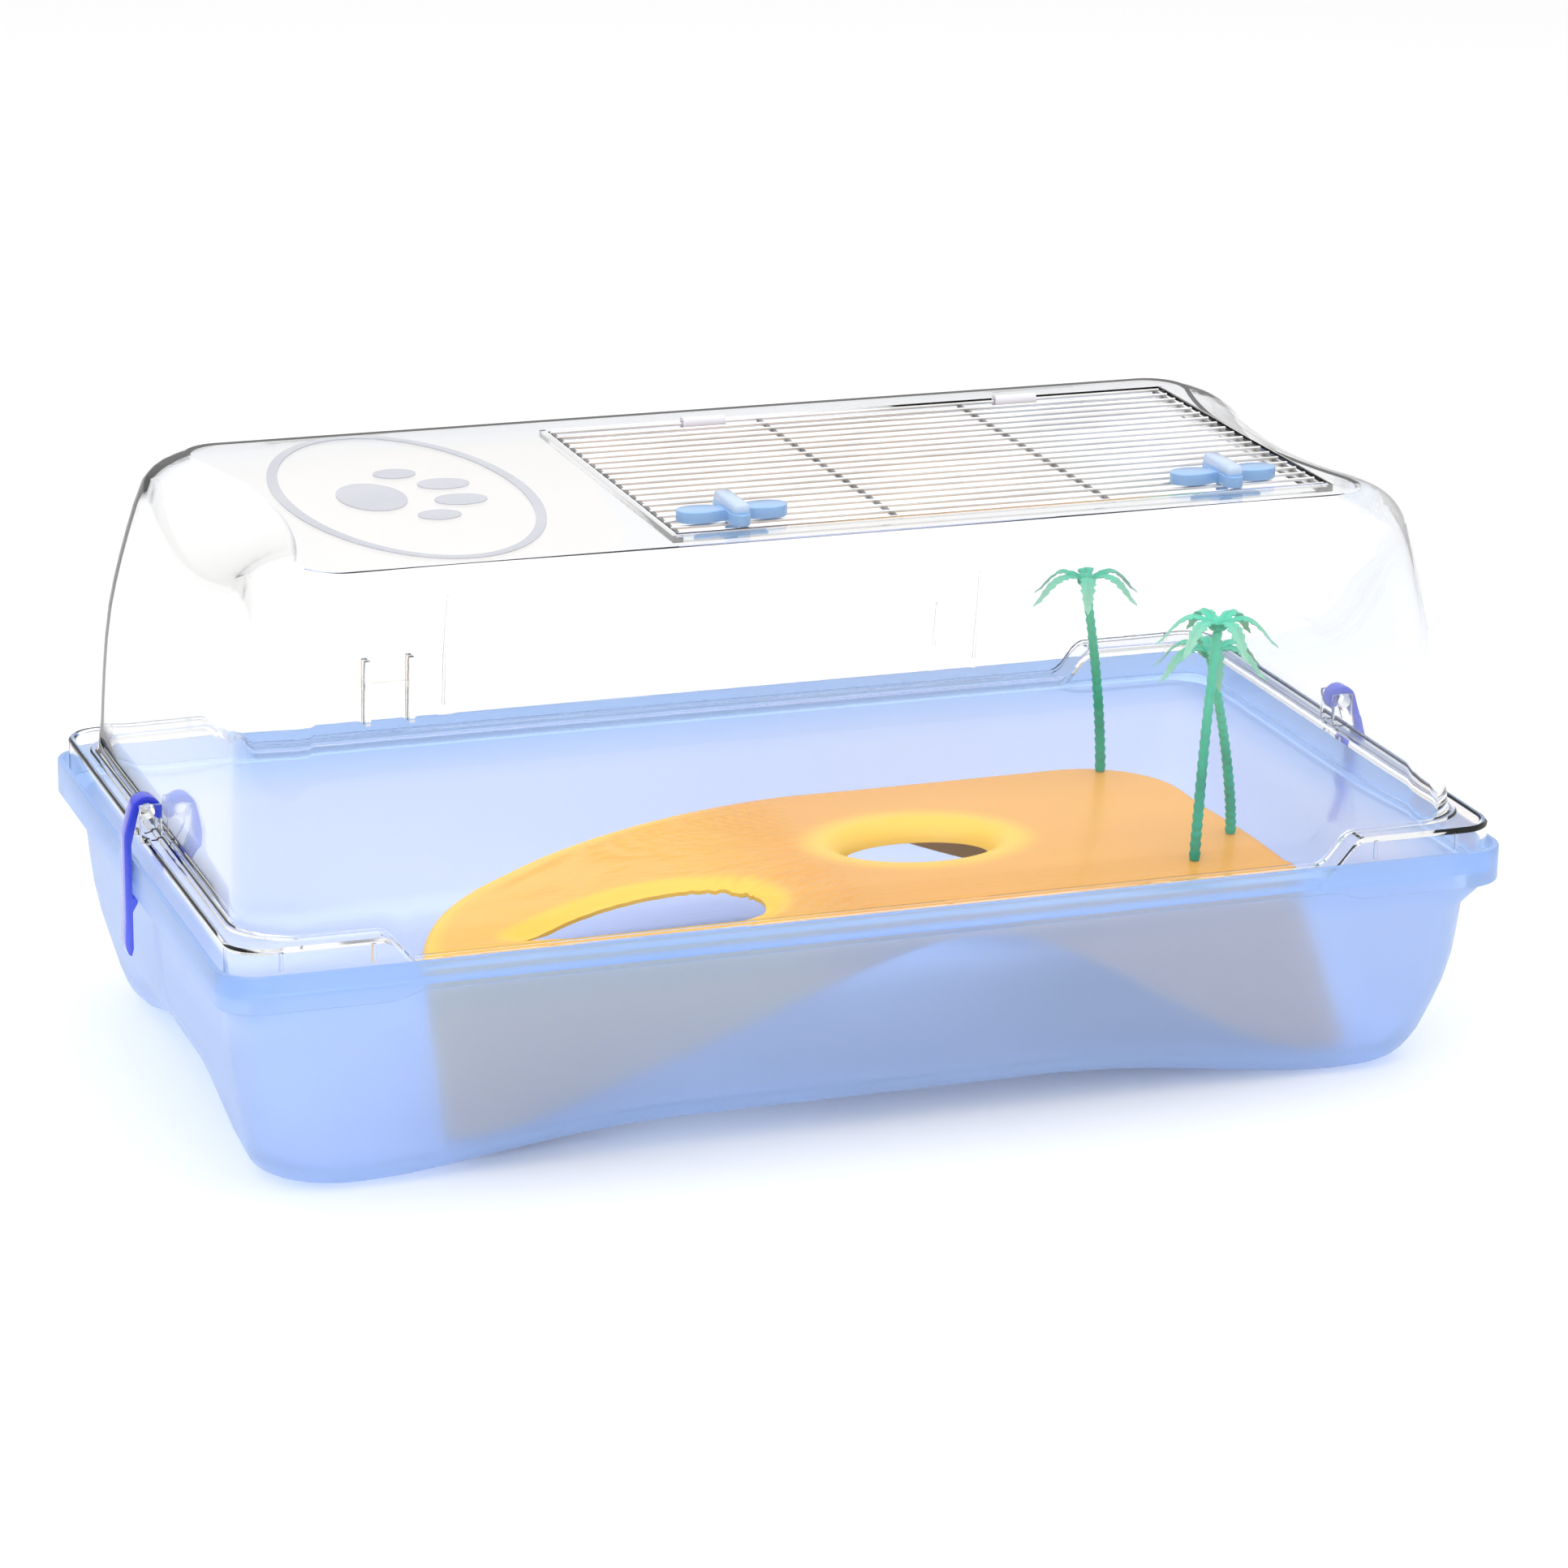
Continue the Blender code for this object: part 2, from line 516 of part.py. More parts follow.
def make_hood(mat):
    """The clear hood: shell, lid frame, latch bars and bottle rails in one piece."""
    hood = hood_shell(mat)

    frame = bmesh.new()
    reach_x = GRILLE_LENGTH / 2 + SEAT_FIT + WIRE_OVERHANG + FRAME_WALL
    front = -GRILLE_WIDTH / 2 - SEAT_FIT - FRAME_WALL
    back = GRILLE_WIDTH / 2 + HINGE_FIT + FRAME_WALL
    add_box(frame, (GRILLE_CENTRE_X - reach_x, front, LID_SEAT - HOOD_WALL),
            (GRILLE_CENTRE_X + reach_x, back, HOOD_TOP - HOOD_WALL / 2))
    combine(hood, place("lid_frame", frame, None), "UNION")

    recess = bmesh.new()
    add_box(recess, (GRILLE_CENTRE_X - reach_x + FRAME_WALL, front + FRAME_WALL, LID_SEAT),
            (GRILLE_CENTRE_X + reach_x - FRAME_WALL, back - FRAME_WALL, HOOD_TOP + CUT_OVER))
    combine(hood, place("lid_recess", recess, None), "DIFFERENCE")

    opening = bmesh.new()
    half_x = GRILLE_LENGTH / 2 - SEAT_WIDTH
    half_y = GRILLE_WIDTH / 2 - SEAT_WIDTH
    add_box(opening, (GRILLE_CENTRE_X - half_x, -half_y, LID_SEAT - OPENING_DEPTH),
            (GRILLE_CENTRE_X + half_x, half_y, HOOD_TOP + CUT_OVER))
    combine(hood, place("lid_opening", opening, None), "DIFFERENCE")

    for side in (-1, 1):
        bar_x, _, bar_z = latch_bar(side)
        reach = LATCH_WIDTH / 2 + LATCH_SIDE_FIT
        bm = bmesh.new()
        add_cylinder(bm, (bar_x, -reach - CHEEK_WALL / 2, bar_z),
                     (bar_x, reach + CHEEK_WALL / 2, bar_z), LATCH_BAR_RADIUS, 16)
        combine(hood, place(f"latch_bar_{side}", bm, None), "UNION")
        for cheek in (-1, 1):
            edges = sorted((cheek * reach, cheek * (reach + CHEEK_WALL)))
            ends = sorted((bar_x - side * CHEEK_REACH[0], bar_x + side * CHEEK_REACH[1]))
            bm = bmesh.new()
            add_box(bm, (ends[0], edges[0], FLANGE_HIGH - HOOD_WALL / 2),
                    (ends[1], edges[1], bar_z + CHEEK_OVER))
            combine(hood, place(f"latch_cheek_{side}_{cheek}", bm, None), "UNION")

    bracket = bmesh.new()
    for low, high in bottle_rails():
        add_box(bracket, low, high)
    combine(hood, place("bottle_rails", bracket, None), "UNION")
    return hood


def bottle_rails():
    """Two upright rails on the back wall that a drinking bottle clips between."""
    rail_y = RIM_WIDTH / 2 - WALL_INSETS[1][2]
    boxes = []
    for k in range(2):
        x = -RIM_LENGTH / 2 + RAILS_FROM_LEFT + k * RAIL_SPACING
        boxes.append(((x - RAIL_THICKNESS / 2, rail_y - RAIL_REACH[0], FLANGE_LOW + RAIL_RISE[0]),
                      (x + RAIL_THICKNESS / 2, rail_y + RAIL_REACH[1], FLANGE_LOW + RAIL_RISE[1])))
    return boxes


# ---- wire lid ----------------------------------------------------------------------------
GRILLE_WIDTH = 2 * (RIM_WIDTH / 2 - CREASE_INSET[1] - LID_SIDE_MARGIN)
GRILLE_CENTRE_X = RIM_LENGTH / 2 - CREASE_INSET[0] - LID_END_MARGIN - GRILLE_LENGTH / 2
WIRE_COUNT = round(GRILLE_WIDTH / WIRE_SPACING) + 1
WIRE_PITCH = GRILLE_WIDTH / (WIRE_COUNT - 1)
WIRE_Z = HOOD_TOP - WIRE_RADIUS
ROD_Z = WIRE_Z - WIRE_RADIUS - ROD_RADIUS + WELD_SINK
LID_SEAT = ROD_Z - ROD_RADIUS - GAP
HINGE_Y = GRILLE_WIDTH / 2


def make_grille(mat):
    """Wires laid over cross rods and welded to them."""
    wires = bmesh.new()
    half = GRILLE_LENGTH / 2
    for k in range(WIRE_COUNT):
        y = -GRILLE_WIDTH / 2 + WIRE_PITCH * k
        add_cylinder(wires, (GRILLE_CENTRE_X - half - WIRE_OVERHANG, y, WIRE_Z),
                     (GRILLE_CENTRE_X + half + WIRE_OVERHANG, y, WIRE_Z), WIRE_RADIUS, 6)
    rods = bmesh.new()
    for k in range(ROD_COUNT):
        x = GRILLE_CENTRE_X - half + GRILLE_LENGTH * k / (ROD_COUNT - 1)
        end = GRILLE_WIDTH / 2 + WIRE_RADIUS
        add_cylinder(rods, (x, -end, ROD_Z), (x, end, ROD_Z), ROD_RADIUS, 6)
    grille = place("grille", wires, mat, 70)
    combine(grille, place("cross_rods", rods, None), "UNION")
    pivot(grille, (GRILLE_CENTRE_X, HINGE_Y, WIRE_Z))
    return grille


def make_hinge_clip(name, x, mat):
    """A clip that wraps the lid's back wire and sits in the recess behind it."""
    bore = WIRE_RADIUS + GAP
    outside = bore + CLIP_WALL
    rear = HINGE_FIT - GAP
    profile = [(rear, LID_SEAT + GAP - WIRE_Z), (rear, 0.0), (outside, bore + CLIP_WALL * 0.6)]
    profile += [(math.cos(a) * outside, math.sin(a) * outside) for a in CLIP_ARC]
    profile += [(math.cos(a) * bore, math.sin(a) * bore) for a in reversed(CLIP_ARC)]
    profile += [(bore, bore * 0.4), (bore + 0.0002, LID_SEAT + GAP - WIRE_Z)]
    bm = bmesh.new()
    outline = [(x - CLIP_LENGTH / 2, HINGE_Y + y, WIRE_Z + z) for y, z in profile]
    extrude_outline(bm, outline, (CLIP_LENGTH, 0, 0))
    return place(name, bm, mat, 40)


# ---- lid knobs ---------------------------------------------------------------------------
KNOB_PLACES = (GRILLE_CENTRE_X - GRILLE_LENGTH / 2 + KNOB_FROM_ENDS[0],
               GRILLE_CENTRE_X + GRILLE_LENGTH / 2 - KNOB_FROM_ENDS[1])
KNOB_Y = -GRILLE_WIDTH / 2 + KNOB_BAY * WIRE_PITCH
KNOB_Z = WIRE_Z + WIRE_RADIUS + GAP
TONGUE_TOP = LID_SEAT - HOOD_WALL - GAP * 2


def make_knob(name, x, mat):
    """A four-lobed turn knob, with its shaft down between the wires."""
    outline = []
    for step in range(KNOB_POINTS):
        a = step * math.tau / KNOB_POINTS
        wing = KNOB_WING * abs(math.cos(a)) ** 6
        lobe = KNOB_LOBE * abs(math.sin(a)) ** 4
        r = max(wing, lobe, KNOB_WAIST + 0.003 * abs(math.cos(2 * a)))
        flare = 1.0 + KNOB_FLARE * abs(math.cos(a)) ** 6
        outline.append((r * math.cos(a), r * math.sin(a) * flare))
    bm = bmesh.new()
    skin(bm, [[(x + px * s, KNOB_Y + py * s, KNOB_Z + KNOB_THICKNESS * h) for px, py in outline]
              for h, s in KNOB_EDGE])
    knob = place(name, bm, mat, 40)

    ridge = bmesh.new()
    half_x, half_y = KNOB_RIDGE_WIDTH / 2, KNOB_LOBE * KNOB_RIDGE_LENGTH
    made = add_box(ridge, (x - half_x, KNOB_Y - half_y, KNOB_Z + KNOB_THICKNESS / 5),
                   (x + half_x, KNOB_Y + half_y, KNOB_Z + KNOB_THICKNESS + KNOB_RIDGE))
    for vert in made:
        if vert.co.z > KNOB_Z + KNOB_THICKNESS:
            vert.co.y = KNOB_Y + (vert.co.y - KNOB_Y) * KNOB_RIDGE_TAPER[1]
            vert.co.x = x + (vert.co.x - x) * KNOB_RIDGE_TAPER[0]
    combine(knob, place(f"{name}_ridge", ridge, None), "UNION")

    shaft = bmesh.new()
    add_cylinder(shaft, (x, KNOB_Y, TONGUE_TOP + GAP), (x, KNOB_Y, KNOB_Z + KNOB_THICKNESS / 2),
                 SHAFT_RADIUS, 12)
    combine(knob, place(f"{name}_shaft", shaft, None), "UNION")
    pivot(knob, (x, KNOB_Y, KNOB_Z))
    return knob


def make_tongue(name, x, mat):
    """The tongue snapped on the shaft, which turns under the hood's front ledge."""
    outline = []
    straight = TONGUE_LENGTH / 2 - TONGUE_WIDTH / 2
    for end in (1, -1):
        for step in range(7):
            a = math.radians(-90 + 30 * step)
            outline.append((x + end * (straight + math.cos(a) * TONGUE_WIDTH / 2),
                            KNOB_Y + end * math.sin(a) * TONGUE_WIDTH / 2,
                            TONGUE_TOP - TONGUE_THICKNESS))
    bm = bmesh.new()
    extrude_outline(bm, outline, (0, 0, TONGUE_THICKNESS))
    tongue = place(name, bm, mat, 40)
    pivot(tongue, (x, KNOB_Y, TONGUE_TOP))
    return tongue


# ---- latches -----------------------------------------------------------------------------
def latch_bar(side):
    """Centre of the bar that a latch turns on: side -1 is the left end, 1 the right."""
    return (side * (RIM_LENGTH / 2 - LATCH_BAR_INSET), 0.0, FLANGE_HIGH + LATCH_BAR_HEIGHT)


def make_latch(name, side, mat):
    """A curl over the bar, a straight shank outside the band, a hook under it and a tab."""
    bar_x, _, bar_z = latch_bar(side)
    curl_in = LATCH_BAR_RADIUS + GAP
    curl_out = curl_in + LATCH_THICKNESS
    shank_in = LATCH_BAR_INSET + LATCH_FACE_FIT
    shank_out = shank_in + LATCH_THICKNESS
    band_low = RIM_TOP - BAND_HEIGHT - bar_z
    nose_top = band_low - LATCH_NOSE_FIT
    tab_low = band_low - LATCH_DROP
    nose_in = LATCH_BAR_INSET - LATCH_NOSE
    profile = [(-math.cos(a) * curl_out, math.sin(a) * curl_out) for a in LATCH_CURL[:-1]]
    profile += [(shank_out, -LATCH_THROAT[0]), (shank_out, nose_top - LATCH_HOOK[2]),
                (shank_out + LATCH_TAB_SWELL, tab_low + LATCH_TAB[2]),
                (shank_out - LATCH_TAB_EDGE, tab_low + LATCH_TAB[0]),
                (shank_in + LATCH_TAB_EDGE, tab_low), (shank_in, tab_low + LATCH_TAB[1]),
                (shank_in, nose_top - LATCH_HOOK[1]), (nose_in, nose_top - LATCH_HOOK[0]),
                (nose_in, nose_top), (shank_in, nose_top), (shank_in, -LATCH_THROAT[1])]
    profile += [(-math.cos(a) * curl_in, math.sin(a) * curl_in) for a in reversed(LATCH_CURL)]
    outline = [(bar_x + side * u, -LATCH_WIDTH / 2, bar_z + w) for u, w in profile]
    bm = bmesh.new()
    extrude_outline(bm, outline, (0, LATCH_WIDTH, 0))
    latch = place(name, bm, mat, 40)
    pivot(latch, (bar_x, 0.0, bar_z))
    return latch


# ---- island ------------------------------------------------------------------------------
ISLAND_LEFT = -RIM_LENGTH / 2 + ISLAND_LEFT_CLEAR
ISLAND_RIGHT = RIM_LENGTH / 2 - ISLAND_RIGHT_CLEAR
ISLAND_FRONT = -RIM_WIDTH / 2 + ISLAND_FRONT_CLEAR
OVAL = (ISLAND_RIGHT - OVAL_FROM_RIGHT, ISLAND_FRONT + OVAL_FROM_FRONT)


def island_outline(steps=48):
    """Plan of the deck: straight front, rounded right end and the long curved arm."""
    joint = ISLAND_LEFT + ISLAND_ARM
    points = []
    for k in range(steps):
        u = math.sin(math.pi / 2 * k / steps)
        v = (1 - u ** ISLAND_ARM_POWER) ** (1 / ISLAND_ARM_POWER)
        points.append((joint - u * ISLAND_ARM, ISLAND_FRONT + v * ISLAND_DEPTH))
    corners = ((ISLAND_LEFT, ISLAND_FRONT, ISLAND_CORNERS[0], 180),
               (ISLAND_RIGHT, ISLAND_FRONT, ISLAND_CORNERS[1], 270),
               (ISLAND_RIGHT, ISLAND_FRONT + ISLAND_DEPTH, ISLAND_CORNERS[2], 0))
    for x, y, r, start in corners:
        cx = x + (r if start == 180 else -r)
        cy = y + (r if start != 0 else -r)
        for step in range(13):
            a = math.radians(start + step * 7.5)
            points.append((cx + r * math.cos(a), cy + r * math.sin(a)))
    return points


def island_radius():
    """Distance from the oval's centre to the deck's edge, for each direction."""
    outline = island_outline()
    edge = []
    for (x0, y0), (x1, y1) in zip(outline, outline[1:] + outline[:1]):
        for share in np.linspace(0.0, 1.0, 40, endpoint=False):
            x = x0 + (x1 - x0) * share - OVAL[0]
            y = y0 + (y1 - y0) * share - OVAL[1]
            edge.append((math.atan2(y, x), math.hypot(x, y)))
    edge.sort()
    angles = np.array([a for a, _ in edge])
    reach = np.array([r for _, r in edge])
    return lambda a: float(np.interp(a, angles, reach, period=math.tau))


def arch_height(angle):
    """Height of the skirt's lower edge over the floor: 0 at the feet."""
    degrees = math.degrees(angle)
    for k, (start, rise) in enumerate(ISLAND_FEET):
        span = (ISLAND_FEET[(k + 1) % len(ISLAND_FEET)][0] - start) % 360
        u = ((degrees - start) % 360) / span
        if u <= 1:
            return rise * max(0.0, math.sin(math.pi * u) - FOOT_SHARE) / (1 - FOOT_SHARE)
    return 0.0


def island_skirt_foot(x, y):
    """Where a point of the deck's edge comes down on the tray's floor."""
    right = smooth_step(x, ISLAND_RIGHT - 0.14, ISLAND_RIGHT)
    left = smooth_step(-x, -ISLAND_LEFT - 0.09, -ISLAND_LEFT)
    front = smooth_step(-y, -ISLAND_FRONT - 0.05, -ISLAND_FRONT)
    back = smooth_step(y, ISLAND_FRONT + ISLAND_DEPTH - 0.06, ISLAND_FRONT + ISLAND_DEPTH)
    return (x + ISLAND_FLARE * right + ISLAND_FLARE_LEFT * left,
            y + ISLAND_FLARE_FRONT * front + ISLAND_FLARE_BACK * back)


def make_island(mat):
    """A thin-walled deck on arched skirts, with an oval well and a drop-shaped hole."""
    radius = island_radius()
    rings = [[] for _ in range(9)]
    for k in range(ISLAND_POINTS):
        a = k * math.tau / ISLAND_POINTS - math.pi
        ux, uy = math.cos(a), math.sin(a)
        r = radius(a)
        edge = (OVAL[0] + ux * r, OVAL[1] + uy * r)
        foot = island_skirt_foot(*edge)
        stand = TRAY_WALL + floor_rise(*foot) + FOOT_CLEAR
        low = stand + arch_height(a)
        share = (DECK_HEIGHT - low) / (DECK_HEIGHT - stand)
        at_low = (edge[0] + (foot[0] - edge[0]) * share, edge[1] + (foot[1] - edge[1]) * share)
        rings[0].append((*at_low, low))
        half = share / 2
        at_half = (edge[0] + (foot[0] - edge[0]) * half, edge[1] + (foot[1] - edge[1]) * half)
        rings[1].append((*at_half, (low + DECK_HEIGHT - ISLAND_EDGE) / 2))
        rings[2].append((*edge, DECK_HEIGHT - ISLAND_EDGE))
        oval_r = 1 / math.hypot(ux / OVAL_RADII[0], uy / OVAL_RADII[1])
        inner = oval_r + OVAL_LIP
        for ring, (t, drop) in zip((3, 4), DECK_ROUND):
            rings[ring].append((edge[0] - ux * t, edge[1] - uy * t, DECK_HEIGHT - drop))
        rings[5].append((OVAL[0] + ux * inner, OVAL[1] + uy * inner, DECK_HEIGHT))
        for ring, (t, drop) in zip((6, 7, 8), (*OVAL_ROUND, (0.0, OVAL_DIP))):
            rings[ring].append((OVAL[0] + ux * (oval_r + t), OVAL[1] + uy * (oval_r + t),
                                DECK_HEIGHT - drop))
    bm = bmesh.new()
    skin(bm, rings, cap_start=False, cap_end=False)
    island = place("island", bm, mat, 40)
    shell = island.modifiers.new("wall", "SOLIDIFY")
    shell.thickness = ISLAND_WALL
    shell.offset = -1.0
    shell.use_even_offset = True

    drop = bmesh.new()
    outline = []
    for step in range(DROP_POINTS):
        t = math.tau * step / DROP_POINTS
        along = -math.cos(t) * DROP_LENGTH / 2
        across = math.sin(t) * abs(math.sin(t / 2)) ** 1.2 * DROP_WIDTH
        turn_c, turn_s = math.cos(DROP_TILT), math.sin(DROP_TILT)
        outline.append((ISLAND_LEFT + DROP_FROM_LEFT + along * turn_c - across * turn_s,
                        ISLAND_FRONT + DROP_FROM_FRONT + along * turn_s + across * turn_c,
                        DECK_HEIGHT - DROP_DEPTH[0]))
    extrude_outline(drop, outline, (0, 0, sum(DROP_DEPTH)))
    combine(island, place("drop_hole", drop, None), "DIFFERENCE")
    pivot(island, (OVAL[0], OVAL[1], DECK_HEIGHT))
    return island


# ---- palms -------------------------------------------------------------------------------
def palm_axis(base, height, lean, share):
    """A point on the trunk's gently curved axis."""
    return Vector((base[0] + lean * (share ** 1.6), base[1], base[2] + height * share))


def make_trunk(name, base, height, lean, mat):
    """A trunk with the swollen rings of old leaf bases."""
    rings = []
    for k in range(2 * TRUNK_RINGS + 1):
        share = k / (2 * TRUNK_RINGS)
        centre = palm_axis(base, height - TRUNK_INTO_CROWN, lean, share)
        r = TRUNK_RADIUS * TRUNK_RING_SCALE[k % 2] * (1 - TRUNK_TAPER * share)
        rings.append([(centre.x + r * math.cos(a), centre.y + r * math.sin(a), centre.z)
                      for a in (j * math.tau / 7 for j in range(7))])
    bm = bmesh.new()
    skin(bm, rings)
    trunk = place(name, bm, mat, 60)
    pivot(trunk, base)
    return trunk


def make_crown(name, base, height, lean, first_angle, mat):
    """A hub with drooping fronds, pushed on the trunk's top."""
    top = palm_axis(base, height - TRUNK_INTO_CROWN, lean, 1.0) + Vector((0, 0, GAP))
    hub = bmesh.new()
    skin(hub, [[(top.x + r * math.cos(a), top.y + r * math.sin(a), top.z + h)
                for a in (j * math.tau / 8 for j in range(8))]
               for r, h in HUB])
    crown = place(name, hub, mat, 60)
    for k in range(FROND_COUNT):
        frond = bmesh.new()
        rings = []
        for step in range(6):
            t = step / 5
            reach = FROND_ROOT[0] + t * (FROND_LENGTH * (1 - 0.03 * (k % 3)) - FROND_ROOT[0])
            half = FROND_WIDTH / 2 * (math.sin(math.pi * min(t * 0.85 + 0.13, 0.985))) ** 0.8
            arch = FROND_ARCH * math.sin(math.pi * min(t * 1.15, 1.0))
            droop = FROND_DROOP * (1 - 0.08 * (k % 2)) * t ** 2.4
            z = FROND_ROOT[1] + FROND_STAGGER * k + arch - droop
            edge = z - FROND_SAG
            thick = FROND_WALL[0] - FROND_WALL[1] * t
            rings.append([(reach, -half, edge - thick), (reach, half, edge - thick),
                          (reach, half, edge), (reach, 0.0, z + thick), (reach, -half, edge)])
        skin(frond, rings)
        a = math.radians(first_angle + k * 360 / FROND_COUNT)
        bmesh.ops.rotate(frond, cent=(0, 0, 0), matrix=Matrix.Rotation(a, 3, "Z"),
                         verts=frond.verts)
        bmesh.ops.translate(frond, vec=top, verts=frond.verts)
        combine(crown, place(f"{name}_frond_{k}", frond, None), "UNION")
    pivot(crown, top)
    return crown


def make_palms(trunk_mat, crown_mat):
    """The three palms that stand on the deck's right end."""
    for name, from_right, from_front, height, lean, first_angle in PALMS:
        base = (ISLAND_RIGHT - from_right, ISLAND_FRONT + from_front, DECK_HEIGHT + GAP)
        make_trunk(f"palm_trunk_{name}", base, height, lean, trunk_mat)
        make_crown(f"palm_crown_{name}", base, height, lean, first_angle, crown_mat)


def main():
    """Build the cage."""
    clear_scene()
    frosted = finish_of("frosted_blue", (0.30, 0.52, 0.85), 0.45, transmission=0.5)
    clear = finish_of("clear", (0.92, 0.94, 0.95), 0.08, transmission=0.95)
    wire = finish_of("galvanised_wire", (0.62, 0.62, 0.63), 0.32, metallic=1.0)
    pale_blue = finish_of("pale_blue", (0.28, 0.48, 0.82), 0.3)
    deep_blue = finish_of("deep_blue", (0.03, 0.05, 0.60), 0.25)
    white = finish_of("natural_white", (0.80, 0.78, 0.82), 0.4)
    sand = finish_of("sand_yellow", (0.80, 0.45, 0.07), 0.35)
    trunk_green = finish_of("trunk_green", (0.01, 0.34, 0.19), 0.45)
    leaf_green = finish_of("leaf_green", (0.02, 0.45, 0.24), 0.45)

    make_tray(frosted)
    make_hood(clear)
    make_grille(wire)
    for name, side in (("left", -1), ("right", 1)):
        clip_x = GRILLE_CENTRE_X + side * CLIP_SPREAD / 2
        make_hinge_clip(f"hinge_clip_{name}", clip_x, white)
        make_latch(f"latch_{name}", side, deep_blue)
    for name, x in zip(("left", "right"), KNOB_PLACES):
        make_knob(f"knob_{name}", x, pale_blue)
        make_tongue(f"knob_tongue_{name}", x, pale_blue)
    make_island(sand)
    make_palms(trunk_green, leaf_green)


main()
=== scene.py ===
"""Looks of a small-animal cage: frosted tray, clear hood, wire lid, latches, island and palms.

Metres, +Z up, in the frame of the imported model.  The length runs along X and the back is at +Y.
"""

import json
import logging
import math
from bisect import bisect_right
from dataclasses import dataclass
from enum import Enum
from typing import Callable, Sequence

import bmesh
import bpy
from mathutils import Matrix, Vector


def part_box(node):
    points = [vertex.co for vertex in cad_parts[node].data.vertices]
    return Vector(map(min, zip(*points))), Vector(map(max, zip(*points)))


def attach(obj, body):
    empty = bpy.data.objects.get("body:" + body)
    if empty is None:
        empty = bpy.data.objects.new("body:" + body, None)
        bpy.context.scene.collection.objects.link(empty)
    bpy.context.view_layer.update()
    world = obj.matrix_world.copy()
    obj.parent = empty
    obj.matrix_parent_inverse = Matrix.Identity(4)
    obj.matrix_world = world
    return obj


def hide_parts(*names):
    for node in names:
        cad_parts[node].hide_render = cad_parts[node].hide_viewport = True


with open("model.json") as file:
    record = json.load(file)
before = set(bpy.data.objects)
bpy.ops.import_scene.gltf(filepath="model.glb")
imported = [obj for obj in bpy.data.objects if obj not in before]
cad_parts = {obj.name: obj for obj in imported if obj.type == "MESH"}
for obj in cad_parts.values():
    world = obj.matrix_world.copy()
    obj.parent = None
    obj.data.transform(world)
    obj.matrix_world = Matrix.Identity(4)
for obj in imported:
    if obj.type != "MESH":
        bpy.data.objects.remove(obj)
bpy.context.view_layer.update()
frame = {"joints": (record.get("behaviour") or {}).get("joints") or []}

log = logging.getLogger("cage")
Point = tuple[float, float, float]
Colour = tuple[float, float, float]


class Body(Enum):
    """The moving bodies that pieces ride on."""

    TRAY = "base"
    HOOD = "hood"
    LID = "lid"
    KNOB_LEFT = "knob_left"
    KNOB_RIGHT = "knob_right"
    LATCH_LEFT = "latch_left"
    LATCH_RIGHT = "latch_right"
    ISLAND = "island"


class Relief(Enum):
    """How a moulded surface is textured."""

    POLISHED = "polished"
    SATIN = "satin"
    FROSTED = "frosted"


# ---- small helpers -------------------------------------------------------------------------
def smooth_step(value: float, low: float, high: float) -> float:
    """Rise smoothly from 0 below low to 1 above high."""
    t = min(max((value - low) / (high - low), 0.0), 1.0)
    return t * t * (3 - 2 * t)


def evenly(low: float, high: float, count: int) -> list[float]:
    """Give count values from low to high."""
    return [low + (high - low) * k / (count - 1) for k in range(count)]


def smooth_curve(knots: Sequence[tuple[float, float]], value: float) -> float:
    """Read a smooth curve through knots.

    Args:
        knots: pairs of place and height, in rising order of place.
        value: the place to read.

    Returns:
        The curve's height there, held at the ends.
    """
    places = [place for place, _ in knots]
    value = min(max(value, places[0]), places[-1])
    k = min(bisect_right(places, value), len(knots) - 1) - 1

    def slope(i: int) -> float:
        """Slope of the curve at a knot, from its neighbours."""
        a, b = max(i - 1, 0), min(i + 1, len(knots) - 1)
        return (knots[b][1] - knots[a][1]) / (knots[b][0] - knots[a][0])

    (x0, y0), (x1, y1) = knots[k], knots[k + 1]
    span = x1 - x0
    t = (value - x0) / span
    return ((2 * t**3 - 3 * t**2 + 1) * y0 + (t**3 - 2 * t**2 + t) * span * slope(k)
            + (3 * t**2 - 2 * t**3) * y1 + (t**3 - t**2) * span * slope(k + 1))


def joint_place(name: str) -> Vector:
    """Point on a joint's axis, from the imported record."""
    return Vector(next(j["pos_m"] for j in frame["joints"] if j["name"] == name))


def make_piece(name: str, bm: bmesh.types.BMesh, smooth_below: float) -> bpy.types.Object:
    """Turn a bmesh into a named object with outward faces.

    Args:
        name: the piece's name.
        bm: its shape, which is freed.
        smooth_below: edges gentler than this many degrees are shaded smooth.

    Returns:
        The new object, at the origin.
    """
    bmesh.ops.remove_doubles(bm, verts=bm.verts, dist=1e-6)
    bmesh.ops.recalc_face_normals(bm, faces=bm.faces)
    mesh = bpy.data.meshes.new(name)
    bm.to_mesh(mesh)
    bm.free()
    mesh.shade_smooth()
    mesh.set_sharp_from_angle(angle=math.radians(smooth_below))
    piece = bpy.data.objects.new(name, mesh)
    bpy.context.scene.collection.objects.link(piece)
    return piece


def settle(piece: bpy.types.Object, smooth_below: float) -> None:
    """Apply a piece's modifiers and shade it again."""
    graph = bpy.context.evaluated_depsgraph_get()
    made = bpy.data.meshes.new_from_object(piece.evaluated_get(graph))
    piece.modifiers.clear()
    piece.data = made
    made.shade_smooth()
    made.set_sharp_from_angle(angle=math.radians(smooth_below))


